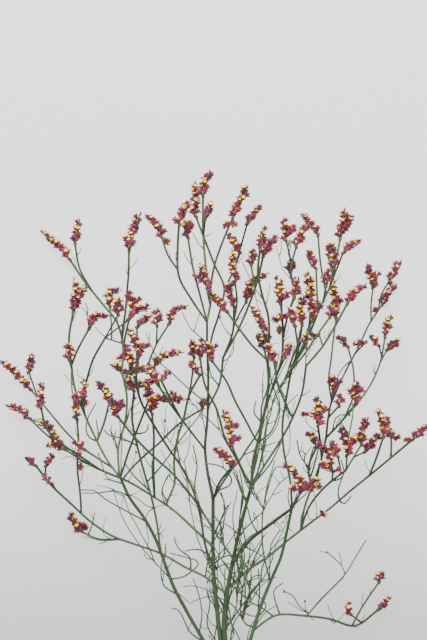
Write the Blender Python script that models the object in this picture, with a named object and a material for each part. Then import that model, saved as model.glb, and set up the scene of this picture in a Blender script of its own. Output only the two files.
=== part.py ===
"""Dried statice: one cut, richly branched flowering stem with its papery flower heads.

The spray lies on its lower side. X runs across it, Y from the cut end up to the flowers, Z up.
The plan of each stem is a list of points on a sheet: millimetres to the right of the sheet's left
edge and millimetres down from its top edge, as the spray is seen from an eye EYE_HEIGHT above it.
Each stem starts on its parent's centreline and rises or sinks evenly to the height of its tip.
"""
import math

import bmesh
import bpy
import numpy as np
from mathutils import Matrix, Vector

MM = 0.001

# The sheet and the eye above it
EYE_HEIGHT = 2000.0
TRUE_SCALE_HEIGHT = 70.0
SHEET_MIDDLE = (213.5, 320.0)
ORIGIN_ON_SHEET = (213.4, 487.3)

# Stems
SAMPLE_STEP = 2.0
POINT_STEP = 26.0
STALK_ROOT_SHARE = 0.72
STALK_MAX_ROOT = 1.9
STALK_TIP = 1.15
TWIG_ROOT = 1.0
TWIG_TIP = 0.75
TWIG_ROOT_SHARE = 0.7
TWIG_STEP = 22.0
TWIG_SLOPES = (-0.35, 0.35)
THREE_SIDED_BELOW = 3.0

# Flower heads
HEAD_NODES = 59
CORE_ROOT = 3.0
CORE_TIP = 1.8
CORE_STEP = 15.0
FLORET_LENGTH = 7.4
FLORET_MOUTH = 5.6
FLORET_SPACING = 8.7
FUSED_SPACING = 13.0
ROOT_SUNK = 1.5
FLORET_SUNK = 0.2
FLORET_SIDES = 3
FLORET_FORWARD = 0.75
FLORET_SPREAD = math.radians(58)
FLORET_ROWS_SPAN = (0.14, 0.84)
FLORET_TAPER = 0.25
LAST_FLORET_BACK = 2.5
LAST_FLORET_SIZE = 0.85
UPPER_SIDE = (0.0, 0.75, 0.66)
HEAD_REACH = 6.2
REACH_TAPER = 2.2
GAP = 0.3
COLLAR = 2.4
STRAIGHT_ENOUGH = 0.995

# Room between the heads
CLEARANCE = 0.5
HEIGHT_STEP = 4.0
HEIGHT_TRIES = 25
MIN_HEIGHT = 6.0
ON_TIP = 2.5
OPEN_STALK_SAMPLES = 6
OPEN_HEAD_SAMPLES = 2

UNION_SOLVER = "MANIFOLD"
SHORTEST_EDGE = 0.002

GREEN = (0.105, 0.150, 0.060, 1.0)
CARMINE = (0.330, 0.028, 0.060, 1.0)

# name, parent, height of the tip, thickness at root and tip, plan points
STEMS = (
    ("trunk", None, 26, 6.6, 5.8, ((238, 787), (236, 742), (234, 697))),
    ("mid", "trunk", 74, 4.6, 3.9, ((234, 697), (226, 665), (220, 638), (217, 608), (214, 580),
                                    (213, 550), (213, 522), (213, 498))),
    ("mid_top", "mid", 104, 3.4, 2.4, ((213, 498), (208, 475), (205, 450), (207, 425), (208, 400),
                                       (208, 370), (207, 345), (207, 322))),
    ("stout", "trunk", 86, 4.8, 3.6, ((234, 697), (228, 660), (224, 630), (226, 600), (232, 565),
                                      (238, 536), (244, 513), (251, 487))),
    ("west", "trunk", 62, 4.2, 3.2, ((234, 697), (222, 672), (203, 640), (190, 617), (177, 594),
                                     (168, 573), (159, 547), (146, 521), (128, 495), (119, 474))),
    ("far_west", "stout", 24, 2.9, 1.2, ((226, 594), (210, 580), (190, 570), (162, 554), (140, 546),
                                         (119, 539), (100, 529), (82, 514), (66, 499), (50, 484),
                                         (43, 475), (36, 466))),
    ("rung", "mid", 44, 3.4, 1.3, ((213, 546), (205, 540), (193, 528), (166, 504), (147, 493),
                                   (120, 477), (100, 470), (80, 460))),
    ("east", "trunk", 106, 4.4, 3.0, ((234, 697), (243, 665), (251, 638), (257, 617), (263, 600),
                                      (271, 580), (279, 562), (285, 543), (288, 522), (292, 507))),
    ("cross_east", "stout", 40, 3.4, 1.4, ((227, 590), (238, 577), (262, 561), (285, 543), (299, 530),
                                           (320, 517), (338, 501), (355, 487), (370, 475), (393, 456),
                                           (404, 448), (412, 440))),
    ("broad_east", "stout", 105, 4.0, 3.2, ((233, 562), (241, 552), (249, 541), (262, 531), (275, 520),
                                            (284, 513), (291, 509))),
    ("thin_mid", "stout", 78, 2.4, 1.3, ((231, 558), (222, 543), (205, 516), (190, 494), (176, 477),
                                         (153, 456), (137, 440), (126, 427), (118, 417))),
    ("west_line", "west", 66, 2.5, 1.4, ((121, 480), (110, 465), (97, 441), (88, 422), (81, 406),
                                         (76, 394), (73, 375), (71, 361), (69, 340), (71, 318),
                                         (73, 313))),
    ("west_rod", "west", 3.0, 2.6, 1.1, ((119, 474), (117, 458), (120, 440), (125, 422), (128, 408),
                                        (126, 392), (123, 378), (122, 363), (123, 345), (121, 330),
                                        (111, 314), (100, 301), (91, 290), (82, 278), (75, 268),
                                        (70, 260))),
    ("inner_rod", "west", 84, 2.4, 1.4, ((161, 552), (158, 530), (154, 508), (148, 485), (142, 465),
                                         (137, 445), (133, 425), (131, 405), (134, 391))),
    ("far_diagonal", "mid", 112, 2.2, 1.3, ((213, 570), (209, 560), (203, 535), (199, 510), (189, 480),
                                            (175, 458), (163, 440), (152, 422), (142, 404), (136, 388),
                                            (134, 376))),
    ("rise", "rung", 98, 2.2, 1.2, ((166, 504), (172, 493), (175, 478), (174, 460), (177, 440),
                                    (182, 425), (186, 408), (191, 389), (196, 381), (200, 375))),
    ("north_west", "mid_top", 110, 1.9, 1.2, ((207, 322), (200, 312), (190, 297), (183, 284), (177, 270),
                                              (178, 245), (179, 224))),
    ("north", "mid_top", 92, 2.1, 1.2, ((207, 322), (211, 306), (210, 290), (207, 275), (205, 262),
                                        (204, 247), (203, 230), (203, 211), (203, 197))),
    ("right_reach", "mid_top", 92, 2.3, 1.7, ((209, 407), (215, 399), (219, 386), (221, 372), (223, 358))),
    ("right_reach_top", "right_reach", 138, 1.8, 1.2, ((223, 358), (231, 344), (239, 328), (247, 310),
                                                       (253, 294), (257, 283), (260, 267), (263, 257))),
    ("fan_axis", "stout", 108, 3.0, 2.0, ((251, 487), (253, 470), (256, 452), (260, 432), (264, 412),
                                          (268, 392), (269, 376), (268, 361))),
    ("fan_axis_top", "fan_axis", 150, 1.8, 1.1, ((268, 361), (268, 346), (270, 330), (268, 315),
                                                 (265, 303), (261, 291), (258, 276), (259, 262),
                                                 (260, 249))),
    ("fan_right", "stout", 120, 2.8, 1.9, ((251, 487), (262, 470), (272, 452), (283, 437), (292, 419),
                                           (299, 403), (303, 388), (305, 375), (306, 366))),
    ("fan_mid", "stout", 132, 2.2, 1.3, ((251, 487), (251, 470), (256, 448), (262, 425), (268, 400),
                                         (275, 380), (281, 362), (283, 340), (282, 320), (281, 305))),
    ("hidden_rod", "east", 118, 2.4, 1.8, ((294, 502), (290, 480), (285, 458), (282, 438), (283, 420),
                                           (286, 400), (289, 385), (291, 371))),
    ("far_right_rod", "cross_east", 62, 2.4, 1.7, ((299, 530), (303, 513), (308, 497), (314, 481),
                                                   (320, 464), (323, 450), (326, 438))),
    ("low_right", "east", 12, 2.4, 1.0, ((254, 630), (263, 622), (272, 616), (290, 615), (307, 616),
                                         (330, 619), (350, 626), (361, 623), (371, 615), (378, 610))),
)

# name, parent, height of the tip, plan points, axes of the head at the tip
STALKS = (
    ("", "west_rod", 8, ((75, 268), (70, 260)),
     (((70, 260), (62, 250), (52, 241), (42, 232)),)),
    ("", "west_rod", 44, ((92, 291), (85, 280), (79, 267), (76, 255), (75, 244)),
     (((75, 244), (76, 233), (79, 222)),)),
    ("", "west_rod", 92, ((122, 337), (125, 315), (127, 291), (129, 266), (129, 251)),
     (((129, 251), (132, 238), (140, 215)), ((130, 244), (125, 240)))),
    ("", "west_line", 60, ((71, 318), (73, 313)),
     (((73, 313), (74, 303), (77, 293), (74, 281)), ((75, 303), (82, 298), (86, 289)))),
    ("", "west_line", 84, ((73, 363), (80, 345), (85, 336), (89, 329)),
     (((89, 329), (92, 320), (99, 317), (107, 316)),)),
    ("", "west_line", 76, ((72, 368), (69, 360)), (((69, 360), (68, 353), (69, 346)),)),
    ("", "west_line", 78, ((85, 414), (83, 406), (82, 400)),
     (((82, 400), (82, 393), (86, 384)), ((82, 396), (75, 398)))),
    ("", "west_line", 52, ((112, 469), (107, 466), (95, 457), (85, 450)),
     (((85, 450), (81, 447), (76, 444)),)),
    ("", "west_line", 52, ((97, 441), (103, 425), (109, 412), (109, 403)),
     (((109, 403), (104, 391), (97, 383)),)),
    ("upright", "far_west", 38, ((82, 513), (81, 500), (79, 485), (77, 470), (79, 455), (78, 435), (77, 420)),
     (((77, 420), (77, 414), (75, 408)),)),
    ("west_low", "upright", 20, ((79, 445), (70, 437), (60, 425), (50, 413), (42, 403), (35, 394), (31, 390)),
     (((31, 390), (23, 383), (17, 376), (11, 370), (1, 362)),)),
    ("", "west_low", 40, ((37, 398), (31, 384), (29, 372)), (((29, 372), (29, 364), (33, 357)),)),
    ("", "rung", 80, ((100, 470), (80, 456), (58, 441), (48, 431), (43, 420), (41, 408)),
     (((41, 408), (40, 398), (41, 391), (43, 385)),)),
    ("", "rung", 14, ((100, 470), (78, 458), (58, 444), (48, 436), (38, 427), (30, 419)),
     (((30, 419), (24, 413), (15, 409), (7, 406)),)),
    ("", "rung", 44, ((87, 463), (76, 456), (66, 450)),
     (((66, 450), (59, 444), (53, 438), (51, 430), (44, 425), (35, 421)), ((59, 444), (49, 446)))),
    ("", "far_west", 20, ((43, 475), (36, 466)), (((36, 466), (33, 461), (27, 459)),)),
    ("", "far_west", 36, ((44, 477), (46, 466)), (((46, 466), (48, 461), (52, 456)),)),
    ("", "far_west", 40, ((57, 491), (52, 484)), (((52, 484), (48, 480), (44, 478)),)),
    ("low_west", "far_west", 14, ((119, 539), (105, 540), (90, 537), (80, 531)),
     (((80, 531), (77, 524), (70, 516)), ((78, 527), (85, 528)))),
    ("fork", "west_line", 96, ((81, 406), (84, 392), (87, 379), (92, 362), (98, 350), (105, 338)), ()),
    ("", "fork", 106, ((105, 338), (111, 326), (118, 315)), (((118, 315), (121, 308), (118, 301)),)),
    ("", "fork", 96, ((105, 338), (120, 327), (128, 320)),
     (((128, 320), (134, 313), (141, 309), (148, 309)),)),
    ("wave", "fork", 90, ((105, 338), (111, 342), (118, 347), (126, 344), (131, 346)), ()),
    ("", "wave", 76, ((111, 342), (112, 335), (111, 320), (110, 307)),
     (((110, 307), (108, 298), (112, 292), (119, 291)),)),
    ("", "west_rod", 70, ((123, 350), (126, 332), (130, 318), (131, 312)),
     (((131, 312), (128, 303), (128, 293)), ((130, 307), (137, 300)))),
    ("", "far_diagonal", 96, ((138, 394), (136, 372), (137, 348), (135, 338), (137, 327)),
     (((137, 327), (138, 320), (144, 316), (150, 317)),)),
    ("", "far_diagonal", 128, ((135, 381), (135, 372), (138, 359)),
     (((138, 359), (139, 349), (134, 340), (128, 330)), ((139, 352), (146, 346)))),
    ("", "west_rod", 98, ((124, 383), (127, 375), (131, 368)),
     (((131, 368), (128, 360), (124, 347)), ((127, 359), (120, 359)))),
    ("", "west_rod", 62, ((125, 392), (128, 385), (129, 378)),
     (((129, 378), (122, 373), (112, 366)), ((127, 377), (136, 371)))),
    ("", "inner_rod", 84, ((131, 405), (134, 391)),
     (((134, 391), (132, 384), (127, 380)), ((133, 387), (141, 386)))),
    ("", "thin_mid", 82, ((124, 425), (118, 417)),
     (((118, 417), (115, 409), (113, 400)), ((116, 411), (123, 404)))),
    ("long_left", "mid_top", 126, ((205, 449), (195, 437), (183, 421), (173, 408), (165, 396), (157, 383)),
     (((157, 383), (152, 376), (146, 370), (138, 369)), ((152, 377), (148, 386)))),
    ("", "long_left", 138, ((180, 417), (171, 400), (165, 388), (161, 380)),
     (((161, 380), (163, 375), (168, 373)),)),
    ("", "long_left", 104, ((161, 389), (155, 377), (154, 368)),
     (((154, 368), (161, 360), (169, 355), (181, 353)),)),
    ("tall_left", "long_left", 112, ((163, 393), (149, 372), (150, 356), (157, 344), (163, 335), (169, 324)),
     (((169, 324), (172, 314), (178, 309), (185, 307)),)),
    ("", "tall_left", 118, ((157, 344), (157, 335), (157, 326)), (((157, 326), (159, 318), (157, 311)),)),
    ("", "west", 88, ((121, 478), (127, 456), (133, 440), (139, 425), (143, 412), (149, 399)),
     (((149, 399), (150, 391), (148, 385)),)),
    ("", "rung", 92, ((155, 499), (154, 480), (153, 460), (155, 445), (153, 430), (152, 414)),
     (((152, 414), (150, 405), (156, 399), (164, 398), (173, 402), (183, 400)), ((167, 400), (174, 394)))),
    ("", "west", 70, ((121, 479), (132, 466), (141, 459), (152, 451), (162, 440), (172, 431), (183, 420),
                      (193, 414), (202, 409)), (((202, 409), (202, 403), (206, 400)),)),
    ("", "rise", 76, ((187, 402), (191, 384), (193, 368), (194, 357)),
     (((194, 357), (195, 349), (191, 342)),)),
    ("", "stout", 98, ((250, 482), (243, 472), (236, 458), (228, 443), (220, 427), (216, 405), (212, 393),
                       (204, 384), (200, 373), (200, 358)), (((200, 358), (200, 350), (203, 342)),)),
    ("", "rise", 104, ((197, 380), (200, 375)), (((200, 375), (197, 368), (190, 365)),)),
    ("", "fan_axis", 132, ((260, 445), (247, 423), (232, 395), (222, 372), (212, 361)),
     (((212, 361), (209, 353), (206, 346)), ((210, 355), (214, 347)))),
    ("", "stout", 110, ((249, 481), (245, 474), (239, 463), (235, 455), (232, 446)),
     (((232, 446), (231, 436), (229, 427), (225, 419), (223, 412)), ((231, 438), (238, 439)),
      ((229, 429), (236, 427)))),
    ("", "mid", 104, ((213, 502), (217, 488), (222, 478), (231, 468)),
     (((231, 468), (227, 460), (221, 455), (215, 450)),)),
    ("", "fan_axis", 124, ((267, 362), (260, 354), (250, 343), (240, 330), (233, 320), (227, 312)),
     (((227, 312), (220, 304), (213, 298), (209, 292)),)),
    ("", "north_west", 82, ((177, 270), (170, 260), (165, 246), (162, 238)),
     (((162, 238), (156, 226), (147, 217)),)),
    ("", "north_west", 108, ((178, 240), (179, 223)), (((179, 223), (184, 212), (190, 203)),)),
    ("", "mid_top", 100, ((207, 322), (203, 306), (198, 288), (194, 272), (190, 255), (188, 238)),
     (((188, 238), (186, 230), (184, 223)), ((187, 233), (191, 224)))),
    ("crossing", "mid_top", 66, ((208, 362), (211, 340), (217, 320), (222, 304), (225, 291), (217, 272),
                                 (211, 255), (204, 238), (199, 226), (196, 217)),
     (((196, 217), (196, 206), (195, 195), (195, 184)),)),
    ("north_fork", "crossing", 70, ((225, 291), (229, 281), (235, 266), (240, 253)),
     (((240, 253), (233, 244), (228, 236)),)),
    ("", "north_fork", 96, ((235, 266), (241, 246), (247, 224)), (((247, 224), (254, 214), (260, 207)),)),
    ("", "north", 92, ((203, 211), (203, 198)), (((203, 198), (205, 186), (209, 173)),)),
    ("", "north", 112, ((204, 236), (205, 219)), (((205, 219), (209, 210), (211, 204)),)),
    ("", "north", 122, ((210, 290), (213, 270), (220, 250), (226, 232), (233, 217)),
     (((233, 217), (239, 206), (244, 196), (247, 188)),)),
    ("", "north", 124, ((211, 306), (208, 297), (207, 289)),
     (((207, 289), (204, 277), (200, 266)), ((205, 281), (196, 278)))),
    ("trio", "right_reach", 118, ((223, 358), (229, 341), (236, 324), (236, 314), (234, 307)),
     (((234, 307), (230, 299), (228, 291), (230, 284)),)),
    ("", "trio", 130, ((236, 324), (237, 306), (235, 292), (235, 282)),
     (((235, 282), (233, 267), (232, 253)),)),
    ("", "trio", 112, ((236, 325), (241, 313), (246, 302)),
     (((246, 302), (245, 294), (249, 287), (257, 282), (266, 275)),)),
    ("", "right_reach_top", 140, ((260, 267), (263, 257)), (((263, 257), (270, 246), (277, 239)),)),
    ("", "fan_axis_top", 118, ((258, 276), (258, 262), (259, 250)), (((259, 250), (263, 238), (264, 228)),)),
    ("", "right_reach_top", 124, ((255, 288), (252, 277), (251, 265)),
     (((251, 265), (253, 258), (253, 251)),)),
    ("", "fan_axis_top", 140, ((268, 345), (266, 337), (263, 331)), (((263, 331), (259, 321), (252, 309)),)),
    ("", "fan_axis", 90, ((268, 368), (266, 355), (264, 348)),
     (((264, 348), (261, 342), (258, 336)), ((262, 344), (267, 338)))),
    ("", "fan_right", 142, ((293, 418), (284, 400), (277, 382), (275, 370), (275, 362)),
     (((275, 362), (272, 355), (267, 348)),)),
    ("", "fan_mid", 140, ((282, 320), (281, 305)),
     (((281, 305), (279, 296), (279, 286), (277, 278)), ((280, 299), (286, 296)))),
    ("east_wand", "fan_mid", 112, ((283, 337), (286, 322), (290, 308), (294, 296), (294, 284), (291, 272),
                                  (291, 262), (296, 247)), (((296, 247), (301, 236), (308, 226)),)),
    ("", "east_wand", 136, ((287, 318), (289, 308), (294, 298)), (((294, 298), (292, 289), (298, 280)),)),
    ("", "east_wand", 102, ((294, 290), (292, 280), (290, 273)), (((290, 273), (287, 267), (293, 263)),)),
    ("", "east_wand", 100, ((291, 264), (288, 253), (286, 241)),
     (((286, 241), (285, 230), (284, 220)), ((286, 236), (294, 229)))),
    ("", "east_wand", 134, ((285, 330), (288, 314)), (((288, 314), (282, 315), (276, 321)),)),
    ("", "hidden_rod", 152, ((291, 371), (297, 352), (296, 339), (295, 326)),
     (((295, 326), (294, 318), (289, 311)),)),
    ("", "hidden_rod", 120, ((291, 371), (297, 354), (301, 338), (302, 325)),
     (((302, 325), (300, 314), (301, 305), (303, 298)),)),
    ("deep", "hidden_rod", 112, ((291, 371), (298, 356), (305, 340), (310, 327), (312, 321)),
     (((312, 321), (313, 310), (311, 299)), ((313, 314), (319, 304)))),
    ("", "deep", 126, ((308, 332), (310, 315), (310, 300)), (((310, 300), (309, 287), (308, 274)),)),
    ("reach", "hidden_rod", 86, ((291, 371), (299, 355), (307, 338), (315, 321), (322, 303), (330, 286),
                                (334, 270), (338, 252), (340, 239)),
     (((340, 239), (343, 225), (344, 211)), ((342, 230), (352, 219)))),
    ("", "reach", 70, ((326, 295), (323, 282), (321, 268), (320, 252), (318, 236)),
     (((318, 236), (310, 225), (302, 216)),)),
    ("", "reach", 102, ((318, 313), (317, 292), (316, 269)), (((316, 269), (312, 261), (308, 254)),)),
    ("", "reach", 104, ((330, 286), (336, 275), (341, 262), (343, 253)),
     (((343, 253), (350, 246), (359, 241)),)),
    ("", "reach", 70, ((333, 276), (330, 266), (329, 259)), (((329, 259), (327, 252), (332, 246)),)),
    ("", "reach", 112, ((323, 301), (325, 293), (326, 286)), (((326, 286), (327, 279), (328, 272)),)),
    ("", "reach", 90, ((330, 286), (333, 276), (333, 269)), (((333, 269), (334, 262), (335, 256)),)),
    ("side_reach", "fan_right", 88, ((306, 366), (315, 356), (325, 343), (333, 330), (340, 316), (347, 304)),
     (((347, 304), (355, 294), (364, 286)),)),
    ("", "side_reach", 70, ((322, 347), (321, 340), (319, 335)), (((319, 335), (314, 335), (309, 338)),)),
    ("", "hidden_rod", 108, ((291, 371), (300, 359), (311, 346), (320, 330), (330, 317)),
     (((330, 317), (331, 310)),)),
    ("", "hidden_rod", 126, ((291, 371), (300, 356), (306, 344)), (((306, 344), (306, 338)),)),
    ("", "fan_mid", 144, ((278, 376), (281, 367), (284, 359)), (((284, 359), (286, 352), (291, 346)),)),
    ("outer_rod", "far_right_rod", 76, ((326, 438), (328, 420), (330, 404), (333, 394)),
     (((333, 394), (333, 386), (331, 378)), ((333, 389), (339, 381)))),
    ("", "outer_rod", 60, ((331, 401), (328, 390), (331, 360), (333, 342), (334, 328), (336, 319)),
     (((336, 319), (334, 306), (335, 294), (334, 283)), ((335, 309), (340, 300)))),
    ("far_reach", "outer_rod", 2.4, ((330, 405), (337, 389), (345, 373), (352, 359), (361, 342), (368, 327),
                                   (372, 316), (378, 308), (382, 305)),
     (((382, 305), (388, 295), (395, 286)),)),
    ("", "far_reach", 46, ((370, 321), (371, 305), (373, 288)),
     (((373, 288), (370, 277), (368, 266)), ((372, 282), (377, 275)))),
    ("", "far_reach", 34, ((377, 310), (381, 296), (385, 287), (389, 281)),
     (((389, 281), (394, 271), (400, 263)),)),
    ("", "far_reach", 60, ((355, 353), (363, 348), (366, 342)), (((366, 342), (361, 340), (357, 345)),)),
    ("far_fork", "far_right_rod", 84, ((326, 438), (338, 425), (350, 413), (354, 406)),
     (((354, 406), (356, 397), (354, 382)), ((356, 399), (350, 393)), ((355, 394), (361, 390)))),
    ("far_bow", "far_fork", 38, ((343, 421), (361, 399), (370, 386), (376, 371), (381, 360), (383, 348),
                                 (385, 337)),
     (((385, 337), (384, 330), (387, 323), (390, 317)),)),
    ("", "far_bow", 26, ((380, 363), (385, 356), (387, 350)), (((387, 350), (391, 344), (398, 342)),)),
    ("", "far_bow", 56, ((382, 356), (381, 350), (379, 346)), (((379, 346), (376, 340), (371, 338)),)),
    ("", "far_fork", 56, ((345, 418), (353, 398), (354, 378), (352, 362), (348, 347)),
     (((348, 347), (344, 341), (339, 339)),)),
    ("inner_east", "cross_east", 74, ((299, 530), (307, 512), (314, 498), (327, 485), (336, 477), (346, 470)),
     ()),
    ("", "inner_east", 82, ((346, 470), (348, 463), (347, 456)),
     (((347, 456), (347, 446), (343, 438), (341, 428)), ((347, 450), (354, 442), (357, 436)))),
    ("inner_fork", "inner_east", 56, ((346, 470), (354, 464), (359, 457), (361, 445)),
     (((361, 445), (363, 435), (362, 428), (367, 420)),)),
    ("", "inner_fork", 44, ((358, 460), (363, 456), (365, 452)),
     (((365, 452), (368, 445), (374, 443), (379, 436)),)),
    ("", "cross_east", 62, ((370, 475), (375, 462), (380, 446), (383, 438)),
     (((383, 438), (383, 428), (381, 420), (379, 411)), ((382, 427), (388, 422)))),
    ("", "cross_east", 28, ((392, 457), (392, 446), (391, 437)),
     (((391, 437), (389, 430), (384, 426)), ((390, 434), (395, 438)))),
    ("", "cross_east", 34, ((405, 447), (412, 440)), (((412, 440), (417, 434), (422, 431), (428, 427)),)),
    ("", "east", 128, ((291, 511), (296, 502), (300, 493)),
     (((300, 493), (301, 486), (296, 477), (291, 470), (285, 465)), ((301, 487), (309, 482), (318, 481)),
      ((300, 489), (310, 489), (320, 487)), ((299, 491), (294, 489)))),
    ("", "inner_east", 92, ((331, 482), (333, 472)),
     (((333, 472), (327, 468), (321, 466)), ((330, 470), (334, 462), (328, 456)))),
    ("", "inner_east", 104, ((342, 473), (340, 464), (338, 457)), (((338, 457), (335, 450), (331, 444)),)),
    ("", "far_right_rod", 84, ((311, 489), (308, 472), (311, 459), (316, 448)),
     (((316, 448), (314, 439), (309, 434)), ((317, 446), (324, 447), (329, 452)))),
    ("", "far_right_rod", 110, ((322, 457), (320, 441), (318, 426)),
     (((318, 426), (319, 416), (318, 399)), ((319, 418), (313, 415)), ((319, 412), (327, 409)))),
    ("", "outer_rod", 82, ((329, 418), (334, 411), (339, 406)), (((339, 406), (341, 399)),)),
    ("", "low_right", 12, ((371, 615), (378, 610)), (((378, 610), (383, 605), (389, 600)),)),
    ("", "low_right", 24, ((351, 626), (358, 613), (368, 598), (376, 585), (379, 582)),
     (((379, 582), (380, 574)),)),
    ("", "low_right", 22, ((362, 622), (356, 619), (351, 615)), (((351, 615), (347, 611), (347, 606)),)),
)


# plan points of the barren twigs; each leaves the stem that passes closest to its first point
TWIGS = (
    ((170, 579), (185, 576), (199, 563), (188, 558), (170, 553)),
    ((177, 594), (165, 587), (161, 575), (162, 560)),
    ((205, 643), (190, 632), (180, 612), (172, 608)),
    ((222, 650), (210, 632), (207, 620), (210, 603), (207, 590)),
    ((190, 570), (190, 558), (178, 548), (174, 537)),
    ((214, 532), (219, 523), (225, 510), (221, 492)),
    ((222, 543), (221, 520), (228, 505)),
    ((146, 521), (128, 512), (105, 499), (95, 491), (81, 490)),
    ((128, 495), (115, 491), (98, 493), (82, 493)),
    ((122, 486), (110, 480), (104, 479)),
    ((113, 480), (107, 478), (102, 465), (98, 453)),
    ((97, 441), (90, 438), (86, 430), (88, 418), (96, 403)),
    ((100, 441), (98, 432), (96, 420)),
    ((137, 446), (121, 438), (110, 436), (104, 430)),
    ((120, 452), (115, 440), (110, 430)),
    ((137, 432), (146, 432), (148, 424)),
    ((148, 490), (133, 475), (124, 462)),
    ((165, 503), (162, 490), (168, 475)),
    ((147, 484), (165, 461), (175, 447), (187, 431), (203, 411)),
    ((184, 463), (177, 445), (178, 430)),
    ((193, 495), (195, 480), (197, 465), (193, 445)),
    ((207, 403), (190, 390), (173, 374), (161, 364)),
    ((260, 422), (254, 413), (256, 401)),
    ((217, 492), (230, 485), (231, 478), (222, 467), (205, 463)),
    ((270, 472), (262, 455)),
    ((270, 582), (263, 550), (262, 530), (263, 510), (268, 488), (275, 468), (283, 467)),
    ((263, 509), (272, 495), (279, 484), (290, 475)),
    ((298, 465), (300, 455), (297, 440)),
    ((224, 632), (240, 608), (262, 580), (272, 560)),
    ((270, 580), (270, 560), (271, 545), (280, 530)),
    ((260, 619), (266, 605), (252, 590), (249, 585), (252, 577), (262, 575)),
    ((272, 616), (262, 608), (247, 600), (240, 590), (236, 577)),
    ((254, 627), (246, 624), (241, 615), (240, 600)),
    ((245, 546), (256, 552), (268, 560)),
    ((338, 500), (344, 504), (351, 496)),
    ((337, 500), (338, 490), (345, 470)),
    ((331, 482), (340, 479), (344, 472), (341, 460)),
    ((331, 430), (335, 420), (339, 415), (349, 415)),
    ((307, 615), (320, 600), (334, 586), (346, 573), (355, 558), (366, 540)),
    ((345, 574), (341, 565), (326, 551)),
    ((281, 615), (275, 600), (274, 590), (283, 583)),
    ((307, 614), (299, 606), (293, 596), (285, 592)),
    ((89, 537), (92, 526), (94, 516)),
)


def smooth_line(points, step):
    """Points every step along a curve that passes smoothly through the given points."""
    p = np.array(points, float)
    if len(p) < 3:
        count = max(2, int(math.ceil(np.linalg.norm(p[-1] - p[0]) / step)) + 1)
        return p[0] + np.linspace(0.0, 1.0, count)[:, None] * (p[-1] - p[0])
    padded = np.vstack([2 * p[0] - p[1], p, 2 * p[-1] - p[-2]])
    t = np.linspace(0.0, 1.0, 12, endpoint=False)[:, None]
    pieces = []
    for a, b, c, d in zip(padded, padded[1:], padded[2:], padded[3:]):
        pieces.append(0.5 * (2 * b + (c - a) * t + (2 * a - 5 * b + 4 * c - d) * t ** 2
                             + (3 * b - a - 3 * c + d) * t ** 3))
    fine = np.vstack(pieces + [p[-1:]])
    return resample(fine, step)


def resample(line, step):
    """The line with evenly spaced points, about step apart."""
    run = np.concatenate([[0.0], np.cumsum(np.linalg.norm(np.diff(line, axis=0), axis=1))])
    count = max(2, int(round(run[-1] / step)) + 1)
    stops = np.linspace(0.0, run[-1], count)
    return np.stack([np.interp(stops, run, line[:, k]) for k in range(line.shape[1])], axis=1)


def sampled(corners):
    """Samples on the straight runs between the corners."""
    samples = [corners[:1]]
    for start, end in zip(corners, corners[1:]):
        count = max(1, int(round(np.linalg.norm(end - start) / SAMPLE_STEP)))
        samples.append(start + np.linspace(0.0, 1.0, count + 1)[1:, None] * (end - start))
    return np.vstack(samples)


def raised(plan, low, high):
    """A plan line with heights that leave the first value gently and reach the last one gently."""
    run = np.concatenate([[0.0], np.cumsum(np.linalg.norm(np.diff(plan, axis=0), axis=1))])
    share = run / run[-1]
    ease = share * share * (3.0 - 2.0 * share)
    return np.column_stack([plan, low + (high - low) * (0.5 * share + 0.5 * ease)])


def placed(line):
    """Sheet points with heights, in millimetres, turned into the object's own frame."""
    line = np.atleast_2d(line)
    shrink = (EYE_HEIGHT - line[:, 2]) / (EYE_HEIGHT - TRUE_SCALE_HEIGHT)
    x = (line[:, 0] - SHEET_MIDDLE[0]) * shrink + SHEET_MIDDLE[0] - ORIGIN_ON_SHEET[0]
    y = (SHEET_MIDDLE[1] - line[:, 1]) * shrink + ORIGIN_ON_SHEET[1] - SHEET_MIDDLE[1]
    return np.column_stack([x, y, line[:, 2]])


def gap_between(line, reach, others):
    """The smallest free distance between a line of balls and all the balls of the others."""
    if not others:
        return math.inf
    centres = np.vstack([o[:, :3] for o in others])
    radii = np.concatenate([o[:, 3] for o in others])
    apart = np.linalg.norm(line[:, None, :] - centres[None, :, :], axis=2)
    return float((apart - radii[None, :] - reach).min())


def balls(line, reach):
    """The line with a reach for each of its points."""
    return np.column_stack([line, np.broadcast_to(reach, len(line))])


class Stem:
    """One stem: the corners of its centreline, samples along it, and its thickness there."""

    def __init__(self, corners, root, tip):
        self.corners = corners
        self.line = sampled(corners)
        self.thick = np.linspace(root, tip, len(self.line))

    def ahead(self):
        """The direction of its last straight run."""
        run = self.corners[-1] - self.corners[-2]
        return run / np.linalg.norm(run)

    def nearest(self, point):
        """The index of the sample that lies closest to a plan point."""
        return int(np.argmin(np.linalg.norm(self.line[:, :2] - np.array(point), axis=1)))

    def distance(self, point):
        """How far the stem passes from a plan point."""
        return float(np.linalg.norm(self.line[self.nearest(point), :2] - np.array(point)))

    def balls(self):
        """The samples with their reach."""
        return balls(self.line, self.thick / 2)


def grow(stems, parent, points, height, root=None, tip=None):
    """A stem that leaves its parent at the first plan point and ends at the given height."""
    if parent is None:
        plan = smooth_line(points, SAMPLE_STEP)
        return Stem(resample(raised(plan, root / 2, height), POINT_STEP), root, tip)
    holder = stems[parent]
    at = holder.nearest(points[0])
    plan = smooth_line([tuple(holder.line[at, :2])] + list(points[1:]), SAMPLE_STEP)
    if root is None:
        root = min(STALK_MAX_ROOT, STALK_ROOT_SHARE * holder.thick[at])
        tip = min(STALK_TIP, root)
    return Stem(resample(raised(plan, holder.line[at, 2], height), POINT_STEP), root, tip)


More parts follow.
